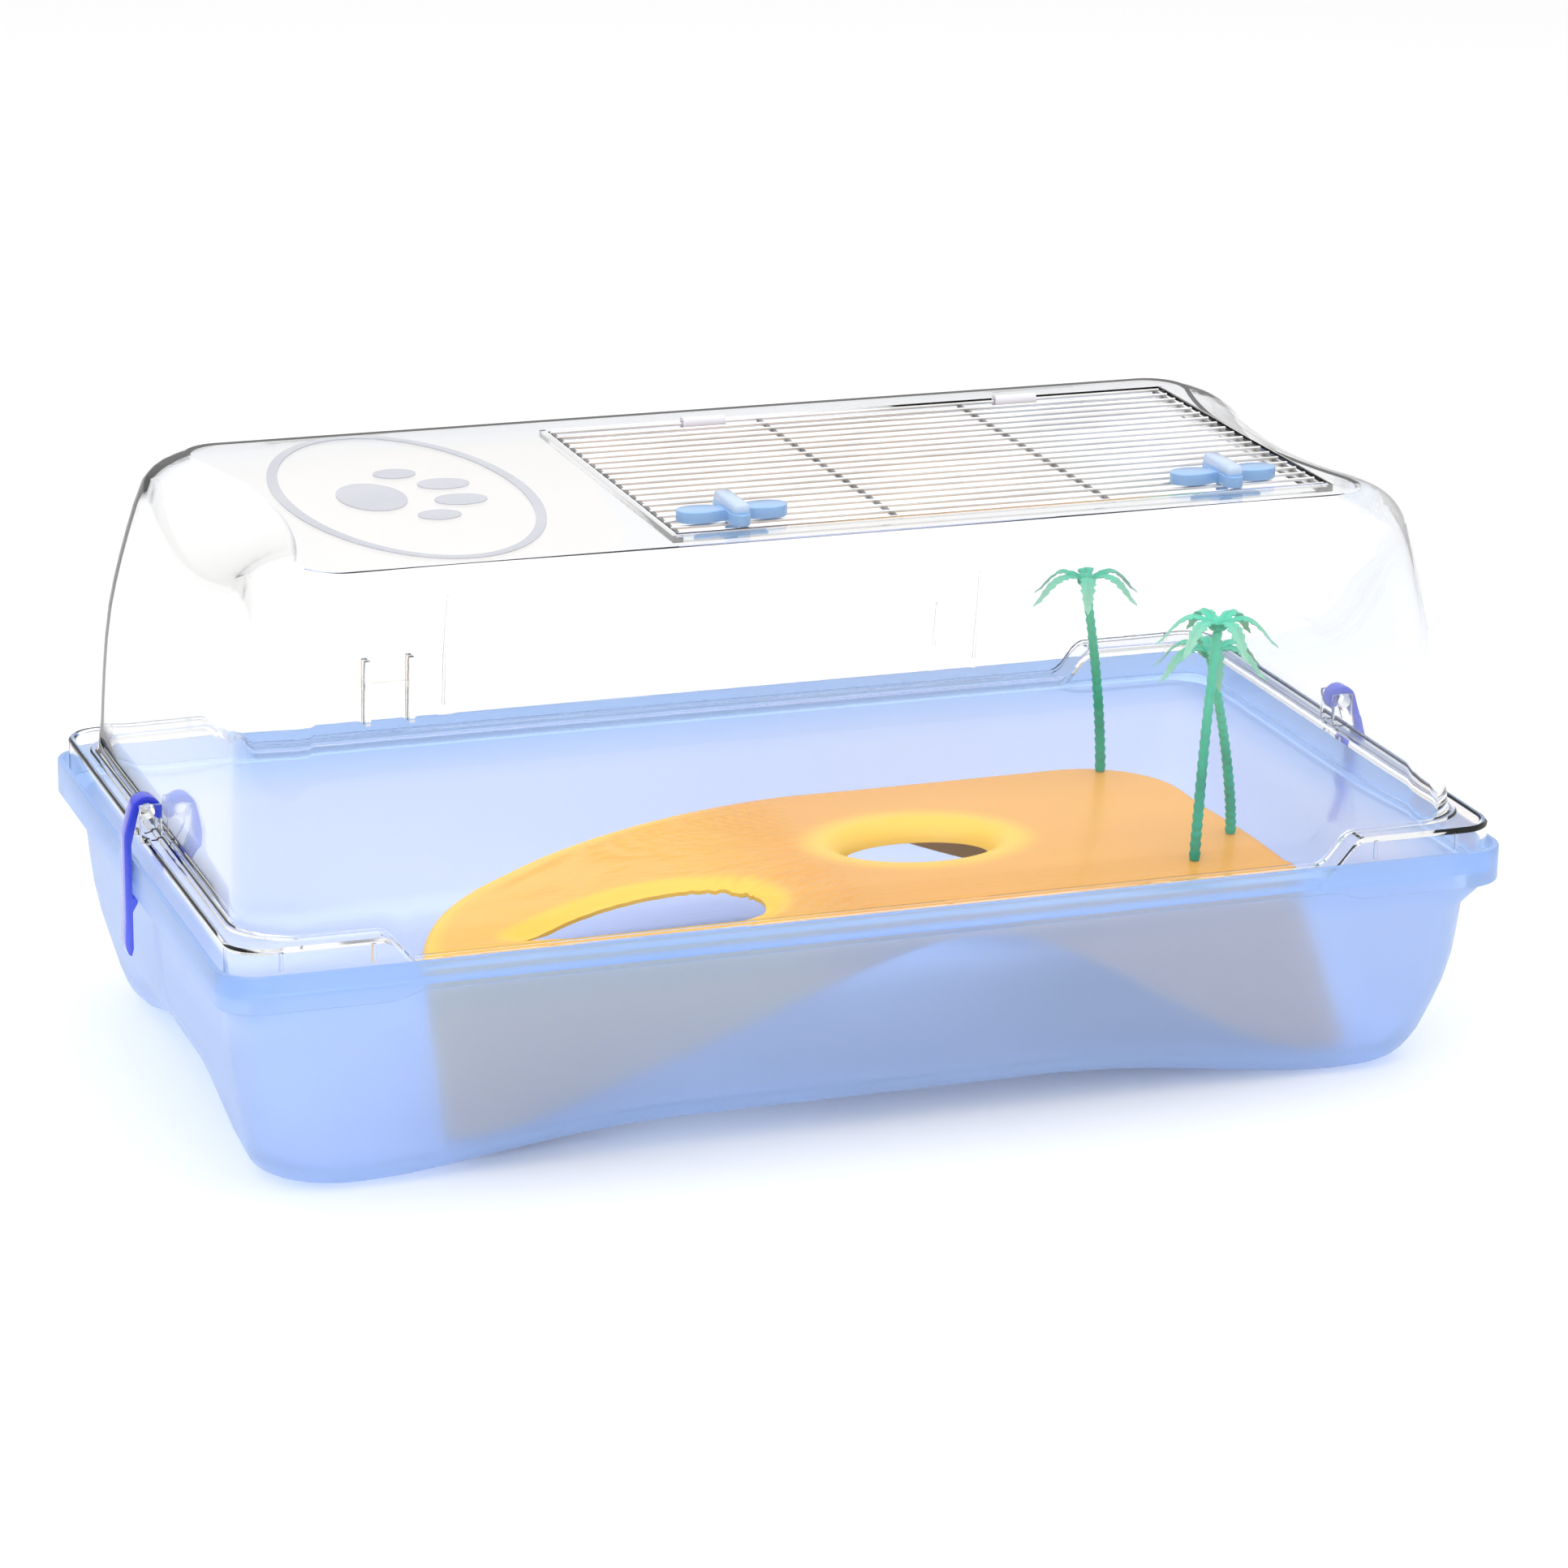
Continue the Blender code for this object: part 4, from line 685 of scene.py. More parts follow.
# ---- hood ------------------------------------------------------------------------------------
@dataclass
class Hood:
    """Clear moulded hood with a lid frame, latch lugs, bottle rails and a raised emblem."""

    plan: RimPlan
    rim_top: float
    top: float
    wall: float = 0.002
    flange_inset: float = 0.0045
    flange_raise: float = 0.0091
    flange_step: float = 0.0133
    bead: float = 0.0009
    skirt_foot: float = 0.0094
    crease_inset: tuple[float, float] = (0.0473, 0.0496)
    crease_radius: float = 0.016
    wall_radius: float = 0.024
    skirt_radius: float = 0.014
    insets_x: tuple[tuple[float, float], ...] = (
        (0.0, 0.0130), (0.35, 0.0150), (0.55, 0.0180), (0.85, 0.0270), (1.0, 0.0340))
    insets_y: tuple[tuple[float, float], ...] = (
        (0.0, 0.0185), (0.35, 0.0230), (0.55, 0.0270), (0.85, 0.0360), (1.0, 0.0420))
    bevel_long: float = 0.024
    bevel_short: float = 0.022
    bevel_corner: float = 0.015
    bevel_least: float = 0.007
    bevel_scallop: float = 0.013
    bevel_span_long: float = 0.83
    bevel_span_short: float = 1.02
    bevel_swell: float = 0.12
    bevel_shares: tuple[float, ...] = (1.0, 0.93, 0.8, 0.6, 0.4, 0.2, 0.07, 0.0)
    edge_rounding: float = 0.0006
    hinge_land: float = 0.003
    seat_fit: float = 0.0028
    hinge_fit: float = 0.0034
    frame_wall: float = 0.002
    seat_width: float = 0.0042
    emblem_centre: tuple[float, float] = (-0.158, 0.0)
    emblem_half: tuple[float, float] = (0.052, 0.101)
    emblem_line: float = 0.0045
    emblem_height: float = 0.0004
    # pads of the paw print: place from the emblem's centre, and half sizes
    paw: tuple[tuple[float, float, float, float], ...] = (
        (-0.014, 0.0, 0.014, 0.022), (0.005, -0.034, 0.009, 0.0075),
        (0.020, -0.013, 0.011, 0.0085), (0.020, 0.013, 0.011, 0.0085),
        (0.005, 0.034, 0.009, 0.0075))

    @property
    def flange_high(self) -> float:
        """Height of the flange at the corners and the ends."""
        return self.rim_top + self.flange_raise

    def flange_height(self, station: Station) -> float:
        """Height of the flange at a station."""
        return self.flange_high - self.flange_step * (1 - self.plan.raised(station))

    def bevel_share(self, station: Station, x: float, y: float) -> float:
        """How far a point is from the middle of its side: 1 where the bevel ends."""
        on_long = station.along is not None and station.turn % 2 == 0
        if on_long:
            return abs(x) / (self.plan.step_out * self.bevel_span_long)
        return abs(y) / (self.plan.short_end * self.bevel_span_short)

    def bevel_depth(self, station: Station, x: float, y: float) -> float:
        """Depth of the bevel under the flat top."""
        on_long = station.along is not None and station.turn % 2 == 0
        deepest = self.bevel_long if on_long else self.bevel_short
        u = self.bevel_share(station, x, y)
        if u < 1:
            return max(deepest * (1 - u * u) ** 0.8, self.bevel_least)
        return (self.bevel_least
                + (self.bevel_corner - self.bevel_least) * smooth_step(u, 1.0, 1.2))

    def wall_point(self, station: Station, share: float, thick: float) -> Point:
        """A point of the wall at a share of its height."""
        x, y = self.plan.inset(station, smooth_curve(self.insets_x, share) + thick,
                               smooth_curve(self.insets_y, share) + thick, self.wall_radius)
        return x, y, self.flange_high + (self.top - self.flange_high) * share

    def bevel_low_share(self, station: Station) -> float:
        """Share of the wall's height where the bevel starts."""
        x, y = self.plan.inset(station, *self.crease_inset, self.crease_radius)
        return 1 - self.bevel_depth(station, x, y) / (self.top - self.flange_high)

    def crease_point(self, station: Station, thick: float) -> tuple[float, float]:
        """Edge of the flat top, bitten into by the end bevels."""
        x, y = self.plan.inset(station, self.crease_inset[0] + thick,
                               self.crease_inset[1] + thick, self.crease_radius)
        u = self.bevel_share(station, x, y)
        if station.along is not None and station.turn % 2 == 1 and u < 1:
            x -= math.copysign(self.bevel_scallop * (1 - u * u), x)
        return x, y

    def bevel_ring(self, share: float, thick: float) -> list[Point]:
        """A ring of the bevel, from its lower edge at share 0 to the flat top at 1."""
        found = []
        for station in self.plan.stations():
            low = self.wall_point(station, self.bevel_low_share(station), thick)
            x1, y1 = self.crease_point(station, thick)
            depth = self.top - low[2] - thick * 0.4
            moved = share - self.bevel_swell * math.sin(math.pi * share)
            drop = 1 - share - self.bevel_swell * math.sin(math.pi * share)
            found.append((low[0] + (x1 - low[0]) * moved, low[1] + (y1 - low[1]) * moved,
                          self.top - thick - depth * drop))
        return found

    def wall_rings(self, thick: float) -> list[list[Point]]:
        """Rings of the wall from under the bevel down to its foot."""
        stations = self.plan.stations()
        high = [[self.wall_point(s, 0.5 + (self.bevel_low_share(s) - 0.5) * share, thick)
                 for s in stations] for share in (0.8, 0.6, 0.4, 0.2)]
        return high + [[self.wall_point(s, share, thick) for s in stations]
                       for share in (0.5, 0.4, 0.3, 0.2, 0.12)]

    def foot_ring(self, outwards: float, up: float) -> list[Point]:
        """A ring at the wall's foot, on the flange."""
        return self.plan.ring(self.insets_x[0][1] - outwards, self.insets_y[0][1] - outwards,
                              self.wall_radius, lambda s: self.flange_height(s) + up)

    def flange_ring(self, inset: float, up: float, radius: float) -> list[Point]:
        """A ring of the flange."""
        return self.plan.ring(inset, inset, radius, lambda s: self.flange_height(s) + up)

    def skirt_ring(self, inset: float, radius: float) -> list[Point]:
        """The lower edge of the skirt."""
        return self.plan.ring(inset, inset, radius, lambda s: self.rim_top - self.skirt_foot)

    def shell(self) -> bpy.types.Object:
        """The moulded shell, before its details."""
        edge, inner = self.flange_inset, self.flange_inset + self.wall
        rings = [self.bevel_ring(s, 0.0) for s in self.bevel_shares]
        rings += self.wall_rings(0.0)
        rings += [self.foot_ring(o, u) for o, u in
                  ((0.0004, 0.0030), (0.0010, 0.0012), (0.0018, self.bead),
                   (0.0028, self.bead), (0.0034, 0.0))]
        rings += [self.flange_ring(edge + o, u, self.skirt_radius) for o, u in
                  ((0.0026, 0.0), (0.0020, self.bead), (0.0008, self.bead), (0.0, -0.0002))]
        rings += [self.skirt_ring(edge, self.skirt_radius),
                  self.skirt_ring(inner, self.skirt_radius - 0.001),
                  self.flange_ring(inner, -self.wall, self.skirt_radius - 0.001),
                  self.foot_ring(-self.wall + 0.0006, -self.wall)]
        rings += list(reversed(self.wall_rings(self.wall)))
        rings += [self.bevel_ring(s, self.wall) for s in reversed(self.bevel_shares)]
        return make_piece("hood_shell", Loft.through(rings), 30)

    def lid_frame(self, hood: bpy.types.Object) -> None:
        """Add the frame that the wire lid lies in, and cut its opening."""
        low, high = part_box("grille")
        seat = low.z - 0.0003
        x0, x1 = low.x - self.seat_fit + 0.0016, high.x + self.seat_fit - 0.0016
        y0, y1 = low.y - 0.0005, high.y - 0.0007 + self.hinge_fit
        over, wide, s = 0.01, self.frame_wall, self.seat_width
        combine(hood, shaped(add_box, (x0 - wide, y0 - wide, seat - self.wall),
                             (x1 + wide, y1 + wide, self.top - self.wall / 2),
                             self.edge_rounding), "UNION")
        for low_corner, high_corner in (
                ((x0, y0, seat), (x1, y1, self.top + over)),
                ((x0 + s, y0 + s, seat - over), (x1 - s, y1 - s - self.hinge_land, self.top + over))):
            combine(hood, shaped(add_box, low_corner, high_corner), "DIFFERENCE")

    def latch_lugs(self, hood: bpy.types.Object) -> None:
        """Add the bar and the two cheeks at each end."""
        for side in ("left", "right"):
            bar = joint_place(f"latch_{side}_swing")
            out = math.copysign(1.0, bar.x)
            reach, cheek = 0.0046, 0.0025
            combine(hood, shaped(add_rod, (bar.x, -reach - cheek / 2, bar.z),
                                 (bar.x, reach + cheek / 2, bar.z), 0.003, 24), "UNION")
            for way in (-1, 1):
                ys = sorted((way * reach, way * (reach + cheek)))
                xs = sorted((bar.x + out * 0.0036, bar.x - out * 0.0058))
                combine(hood, shaped(add_box, (xs[0], ys[0], self.flange_high - self.wall / 2),
                                     (xs[1], ys[1], bar.z + 0.0034), self.edge_rounding),
                        "UNION")

    def back_wall_point(self, x: float, z: float) -> Point:
        """A point on the outside of the back wall."""
        share = (z - self.flange_high) / (self.top - self.flange_high)
        return x, self.plan.half_y - smooth_curve(self.insets_y, share), z

    def ribs(self, hood: bpy.types.Object) -> None:
        """Add the mould ribs of the back wall, the bottle rails and the corner skirts."""
        for x, z0, z1 in ((-0.103, 0.112, 0.168), (0.149, 0.112, 0.157), (0.129, 0.120, 0.143)):
            combine(hood, shaped(add_rod, self.back_wall_point(x, z0),
                                 self.back_wall_point(x, z1), 0.0007, 10), "UNION")
        rail_y = self.plan.half_y - 0.0230
        rails = bmesh.new()
        for x in (-0.139, -0.119):
            add_box(rails, (x - 0.0011, rail_y - 0.0030, 0.107),
                    (x + 0.0011, rail_y + 0.0055, 0.137))
        combine(hood, rails, "UNION")
        combine(hood, shaped(add_box, (-0.1395, rail_y + 0.0005, 0.1225),
                             (-0.1185, rail_y + 0.0035, 0.1255)), "UNION")
        skirt_y = self.plan.half_y - self.flange_inset
        for way in (-1, 1):
            for x in (-0.251, -0.214, 0.214, 0.251):
                combine(hood, shaped(add_rod, (x, way * skirt_y, self.rim_top + 0.0006),
                                     (x, way * skirt_y, self.flange_high - 0.0008), 0.0009, 10),
                        "UNION")

    def emblem(self, material: bpy.types.Material) -> None:
        """Lay a frosted oval line and a paw print on the flat top."""
        cx, cy = self.emblem_centre
        low, rise, rounding = self.top + 0.00005, (0, 0, self.emblem_height), 0.0001
        ring = make_piece("emblem_oval", shaped(
            add_slab, oval(cx, cy, low, *self.emblem_half, 96), rise, rounding), 30)
        inner = [half - self.emblem_line for half in self.emblem_half]
        combine(ring, shaped(add_slab, oval(cx, cy, low - 0.005, *inner, 96), (0, 0, 0.02)),
                "DIFFERENCE")
        pads = bmesh.new()
        for x, y, half_x, half_y in self.paw:
            add_slab(pads, oval(cx + x, cy + y, low, half_x, half_y, 96), rise, rounding)
        for piece in (ring, make_piece("emblem_paw", pads, 30)):
            dress(shade_level_faces_flat(piece), material, "clear_plastic", Body.HOOD)

    def build(self, material: bpy.types.Material,
              print_material: bpy.types.Material) -> bpy.types.Object:
        """Make the hood with all its details, and the emblem on it."""
        hood = self.shell()
        self.lid_frame(hood)
        self.latch_lugs(hood)
        self.ribs(hood)
        shade_level_faces_flat(hood)
        self.emblem(print_material)
        return dress(hood, material, "clear_plastic", Body.HOOD, "hood")


# ---- wire lid --------------------------------------------------------------------------------
@dataclass
class WireLid:
    """Wires welded across four rods, with a bead of weld at each crossing."""

    wire_count: int = 20
    rod_count: int = 4
    wire_radius: float = 0.00075
    rod_radius: float = 0.0010
    overhang: float = 0.0016
    weld_radius: float = 0.00115
    sides: int = 12

    def build(self, material: bpy.types.Material, rod_material: bpy.types.Material) -> None:
        """Make the wires, the rods and the welds."""
        low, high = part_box("grille")
        wire_z = high.z - self.wire_radius
        rod_z = low.z + self.rod_radius
        y0, y1 = low.y + self.wire_radius, high.y - self.wire_radius
        wires_y = evenly(y0, y1, self.wire_count)
        rods_x = evenly(low.x + self.overhang, high.x - self.overhang, self.rod_count)
        wires, rods, welds = bmesh.new(), bmesh.new(), bmesh.new()
        for y in wires_y:
            add_rod(wires, (low.x, y, wire_z), (high.x, y, wire_z), self.wire_radius, self.sides)
        for x in rods_x:
            add_rod(rods, (x, low.y, rod_z), (x, high.y, rod_z), self.rod_radius, self.sides)
            for y in wires_y:
                bead = bmesh.ops.create_icosphere(welds, subdivisions=2,
                                                  radius=self.weld_radius)["verts"]
                bmesh.ops.scale(welds, vec=(1.1, 1.1, 0.62), verts=bead)
                bmesh.ops.translate(welds, vec=(x, y, (wire_z + rod_z) / 2), verts=bead)
        dress(make_piece("lid_wires", wires, 40), material, "wire", Body.LID, "grille")
        dress(make_piece("lid_rods", rods, 40), rod_material, "wire", Body.LID)
        dress(make_piece("lid_welds", welds, 60), rod_material, "wire", Body.LID)


# ---- knobs, clips and latches ----------------------------------------------------------------
@dataclass
class TurnKnob:
    """Two flat wings with a raised grip across them, and the tongue under the lid."""

    side: str
    body: Body
    wing: float = 0.0235
    lobe: float = 0.0155
    waist: float = 0.0060
    thickness: float = 0.0048
    grip_rise: float = 0.0042
    grip_width: float = 0.0076
    shaft_radius: float = 0.0026
    edge: float = 0.0006
    grip_edge: float = 0.0022

    def outline(self, centre: Vector) -> list[Point]:
        """Plan of the wings and lobes."""
        found = []
        for k in range(120):
            a = k * math.tau / 120
            wing = self.wing * abs(math.cos(a)) ** 6
            lobe = self.lobe * abs(math.sin(a)) ** 4
            r = max(wing, lobe, self.waist + 0.003 * abs(math.cos(2 * a)))
            flare = 1.0 + 0.25 * abs(math.cos(a)) ** 6
            found.append((centre.x + r * math.cos(a), centre.y + r * math.sin(a) * flare,
                          centre.z))
        return found

    def build(self, material: bpy.types.Material) -> None:
        """Make the knob and its tongue."""
        centre = joint_place(f"knob_{self.side}_turn")
        low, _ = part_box(f"knob_{self.side}")
        knob = make_piece(f"turn_knob_{self.side}", shaped(
            add_slab, self.outline(centre), (0, 0, self.thickness), self.edge), 40)
        half_x, half_y = self.grip_width / 2, self.lobe * 0.86
        combine(knob, shaped(
            add_box, (centre.x - half_x, centre.y - half_y, centre.z + 0.001),
            (centre.x + half_x, centre.y + half_y, centre.z + self.thickness + self.grip_rise),
            self.grip_edge), "UNION")
        combine(knob, shaped(add_rod, (centre.x, centre.y, low.z),
                             (centre.x, centre.y, centre.z + 0.002), self.shaft_radius, 32),
                "UNION")
        # Painted highlight: the top of the raised grip is painted paler blue, where light catches it.
        tone(knob, lambda at, normal: smooth_step(
            at.z, centre.z + self.thickness, centre.z + self.thickness + 0.5 * self.grip_rise))
        dress(knob, material, "knob_plastic", self.body, f"knob_{self.side}")

        t_low, t_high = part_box(f"knob_tongue_{self.side}")
        half = (t_high.y - t_low.y) / 2
        outline = []
        for end in (1, -1):
            for k in range(17):
                a = math.radians(-90 + 180 * k / 16)
                straight = (t_high.x - t_low.x) / 2 - half
                outline.append((centre.x + end * (straight + math.cos(a) * half),
                                centre.y + end * math.sin(a) * half, t_low.z))
        bar = shaped(add_slab, outline, (0, 0, t_high.z - t_low.z), self.edge)
        dress(make_piece(f"tongue_{self.side}", bar, 40), material, "knob_plastic", self.body,
              f"knob_tongue_{self.side}")


@dataclass
class HingeClip:
    """A clip that wraps the lid's back wire."""

    side: str
    wire_radius: float = 0.00075
    gap: float = 0.0003
    wall: float = 0.0016
    rear: float = 0.0031

    def build(self, material: bpy.types.Material) -> None:
        """Make the clip."""
        low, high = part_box(f"hinge_clip_{self.side}")
        hinge = joint_place("lid_hinge")
        bore = self.wire_radius + self.gap
        outside = bore + self.wall
        foot = low.z - hinge.z
        profile = [(self.rear, foot), (self.rear, 0.0), (outside, bore + self.wall * 0.6)]
        arc = [math.radians(60 + 150 * k / 18) for k in range(19)]
        profile += [(math.cos(a) * outside, math.sin(a) * outside) for a in arc]
        profile += [(math.cos(a) * bore, math.sin(a) * bore) for a in reversed(arc)]
        profile += [(bore, bore * 0.4), (bore + 0.0002, foot)]
        bm = shaped(add_slab, [(low.x, hinge.y + y, hinge.z + z) for y, z in profile],
                    (high.x - low.x, 0, 0))
        dress(make_piece(f"lid_clip_{self.side}", bm, 40), material, "clip_plastic", Body.HOOD,
              f"hinge_clip_{self.side}")


@dataclass
class EndLatch:
    """A curl over the bar, a shank outside the band, a hook under it and a finger tab."""

    side: str
    body: Body
    bar_radius: float = 0.003
    bar_inset: float = 0.006
    gap: float = 0.0003
    thickness: float = 0.003
    face_fit: float = 0.0006
    nose: float = 0.0015
    rounding: float = 0.0007

    def profile(self, band_low: float) -> list[tuple[float, float]]:
        """Side outline about the bar: outwards and up.

        Args:
            band_low: height of the band's underside, from the bar's axis.

        Returns:
            The outline's points.
        """
        curl_in = self.bar_radius + self.gap
        curl_out = curl_in + self.thickness
        shank_in = self.bar_inset + self.face_fit
        shank_out = shank_in + self.thickness
        nose_top = band_low - 0.0005
        tab = band_low - 0.0255
        outer = [math.radians(-38 + 198 * k / 27) for k in range(28)]
        inner = [math.radians(-38 + 220 * k / 30) for k in range(31)]
        found = [(-math.cos(a) * curl_out, math.sin(a) * curl_out) for a in outer]
        found += [(shank_out - 0.0012, -0.0060), (shank_out - 0.0002, -0.0095),
                  (shank_out, -0.012), (shank_out, nose_top - 0.009),
                  (shank_out + 0.0003, tab + 0.010), (shank_out + 0.0004, tab + 0.006),
                  (shank_out, tab + 0.003), (shank_out - 0.0008, tab + 0.001),
                  (shank_out - 0.0016, tab + 0.0002), (shank_in + 0.0008, tab),
                  (shank_in, tab + 0.003), (shank_in, nose_top - 0.006),
                  (self.bar_inset - self.nose, nose_top - 0.0022),
                  (self.bar_inset - self.nose, nose_top), (shank_in, nose_top),
                  (shank_in, -0.014)]
        found += [(-math.cos(a) * curl_in, math.sin(a) * curl_in) for a in reversed(inner)]
        return found

    def build(self, material: bpy.types.Material, band_low: float) -> None:
        """Make the latch."""
        bar = joint_place(f"latch_{self.side}_swing")
        out = math.copysign(1.0, bar.x)
        low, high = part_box(f"latch_{self.side}")
        outline = [(bar.x + out * u, low.y, bar.z + w) for u, w in
                   self.profile(band_low - bar.z)]
        bm = shaped(add_slab, outline, (0, high.y - low.y, 0), self.rounding)
        latch = make_piece(f"end_latch_{self.side}", bm, 50)
        # Painted light: the latch is painted paler below the bar, standing in for light on it; the
        # plastic is one deep blue.
        tone(latch, lambda at, normal: 1 - smooth_step(at.z, bar.z - 0.03, bar.z))
        dress(latch, material, "latch_plastic", self.body, f"latch_{self.side}")


# ---- island and palms ------------------------------------------------------------------------
@dataclass
class Island:
    """Thin deck with a long curved arm, on arched skirts, with a well and a drop-shaped hole."""

    tray: Tray
    left: float
    right: float
    front: float
    deck: float
    depth: float = 0.178
    arm: float = 0.216
    arm_power: float = 1.7
    wall: float = 0.002
    flare: float = 0.030
    foot_clear: float = 0.0012
    well_half: tuple[float, float] = (0.0320, 0.0235)
    well_from: tuple[float, float] = (0.139, 0.100)
    well_dip: float = 0.010
    well_lip: float = 0.013
    hole_size: tuple[float, float] = (0.112, 0.034)
    hole_from: tuple[float, float] = (0.102, 0.040)
    hole_tilt: float = math.radians(12)
    hole_lip: float = 0.009
    hole_dip: float = 0.0045
    edge_radius: float = 0.004
    scale_size: tuple[float, float] = (0.0085, 0.0075)
    scale_height: float = 0.0011
    feet: tuple[tuple[float, float], ...] = ((-160.0, 0.066), (-36.0, 0.036), (31.0, 0.060))
    foot_share: float = 0.12
    directions: int = 420
    deck_rings: int = 30

    @property
    def well(self) -> tuple[float, float]:
        """Centre of the oval well."""
        return self.right - self.well_from[0], self.front + self.well_from[1]

    def outline(self) -> list[tuple[float, float]]:
        """Plan of the deck's edge."""
        joint = self.left + self.arm
        found = []
        for k in range(96):
            u = math.sin(math.pi / 2 * k / 96)
            v = (1 - u**self.arm_power) ** (1 / self.arm_power)
            found.append((joint - u * self.arm, self.front + v * self.depth))
        corners = ((self.left, self.front, 0.012, 180), (self.right, self.front, 0.020, 270),
                   (self.right, self.front + self.depth, 0.042, 0))
        for x, y, r, start in corners:
            cx = x + (r if start == 180 else -r)
            cy = y + (r if start != 0 else -r)
            for k in range(25):
                a = math.radians(start + k * 90 / 24)
                found.append((cx + r * math.cos(a), cy + r * math.sin(a)))
        return found

    def reach(self) -> Callable[[float], float]:
        """Distance from the well's centre to the deck's edge, by direction."""
        outline = self.outline()
        edge = []
        for (x0, y0), (x1, y1) in zip(outline, outline[1:] + outline[:1]):
            for k in range(30):
                x = x0 + (x1 - x0) * k / 30 - self.well[0]
                y = y0 + (y1 - y0) * k / 30 - self.well[1]
                edge.append((math.atan2(y, x), math.hypot(x, y)))
        edge.sort()
        edge = ([(edge[-1][0] - math.tau, edge[-1][1])] + edge
                + [(edge[0][0] + math.tau, edge[0][1])])
        angles = [a for a, _ in edge]

        def read(angle: float) -> float:
            """Distance to the edge in one direction."""
            k = min(max(bisect_right(angles, angle), 1), len(edge) - 1)
            (a0, r0), (a1, r1) = edge[k - 1], edge[k]
            return r0 + (r1 - r0) * (angle - a0) / max(a1 - a0, 1e-9)

        return read

    def arch(self, angle: float) -> float:
        """Height of the skirt's lower edge over the floor."""
        degrees = math.degrees(angle)
        for k, (start, rise) in enumerate(self.feet):
            span = (self.feet[(k + 1) % len(self.feet)][0] - start) % 360
            u = ((degrees - start) % 360) / span
            if u <= 1:
                flat = self.foot_share
                return rise * max(0.0, math.sin(math.pi * u) - flat) / (1 - flat)
        return 0.0

    def foot(self, x: float, y: float) -> tuple[float, float]:
        """Where a point of the deck's edge comes down on the floor."""
        to_right = smooth_step(x, self.right - 0.14, self.right)
        to_left = smooth_step(-x, -self.left - 0.09, -self.left)
        to_front = smooth_step(-y, -self.front - 0.05, -self.front)
        to_back = smooth_step(y, self.front + self.depth - 0.06, self.front + self.depth)
        return (x + self.flare * to_right + 0.012 * to_left,
                y + 0.012 * to_front + 0.016 * to_back)

    def hole_outline(self) -> list[tuple[float, float]]:
        """Plan of the drop-shaped hole."""
        found = []
        c, s = math.cos(self.hole_tilt), math.sin(self.hole_tilt)
        for k in range(72):
            t = math.tau * k / 72
            along = -math.cos(t) * self.hole_size[0] / 2
            across = math.sin(t) * abs(math.sin(t / 2)) ** 1.2 * self.hole_size[1]
            found.append((self.left + self.hole_from[0] + along * c - across * s,
                          self.front + self.hole_from[1] + along * s + across * c))
        return found

    def relief(self, x: float, y: float, hole: Sequence[tuple[float, float]]) -> float:
        """Height of the deck over its plane: grip scales on the arm and a dip at the hole."""
        joint = self.left + self.arm
        near = min(math.hypot(x - hx, y - hy) for hx, hy in hole)
        dip = self.hole_dip * (1 - smooth_step(near, 0.0, self.hole_lip))
        on_arm = smooth_step(joint - x, 0.0, 0.03) * smooth_step(near, 0.010, 0.014)
        if on_arm <= 0:
            return -dip
        r = math.hypot(joint - x, (y - self.front) * self.arm / self.depth)
        turn = math.atan2(y - self.front, joint - x) * self.arm
        row = math.floor(r / self.scale_size[1])
        u = (turn / self.scale_size[0] + 0.5 * (row % 2)) % 1.0 - 0.5
        v = (r / self.scale_size[1]) % 1.0 - 0.5
        scale = max(0.0, 1 - (u * u + v * v) * 3.6)
        return self.scale_height * scale * on_arm - dip

    def painted_lip_highlight(self, at: Vector, hole: Sequence[tuple[float, float]],
                 reach: Callable[[float], float]) -> float:
        """Give 1 on the lips of the hole, the well and the arm, which are painted brighter as a
        painted highlight, and 0 elsewhere; the whole arm also gets some painted light, as if lit on
        its slope.
        """
        wx, wy = self.well
        dx, dy = at.x - wx, at.y - wy
        r = math.hypot(dx, dy)
        ux, uy = dx / max(r, 1e-6), dy / max(r, 1e-6)
        well = r - 1 / math.hypot(ux / self.well_half[0], uy / self.well_half[1])
        near = min(math.hypot(at.x - hx, at.y - hy) for hx, hy in hole)
        edge = reach(math.atan2(dy, dx)) - r
        on_arm = smooth_step(self.left + self.arm - at.x, 0.02, 0.08)
        return max(1 - smooth_step(near, 0.006, 0.014),
                   0.9 * (1 - smooth_step(well, 0.010, 0.024)),
                   0.8 * on_arm * (1 - smooth_step(edge, 0.006, 0.016)), 0.35 * on_arm)

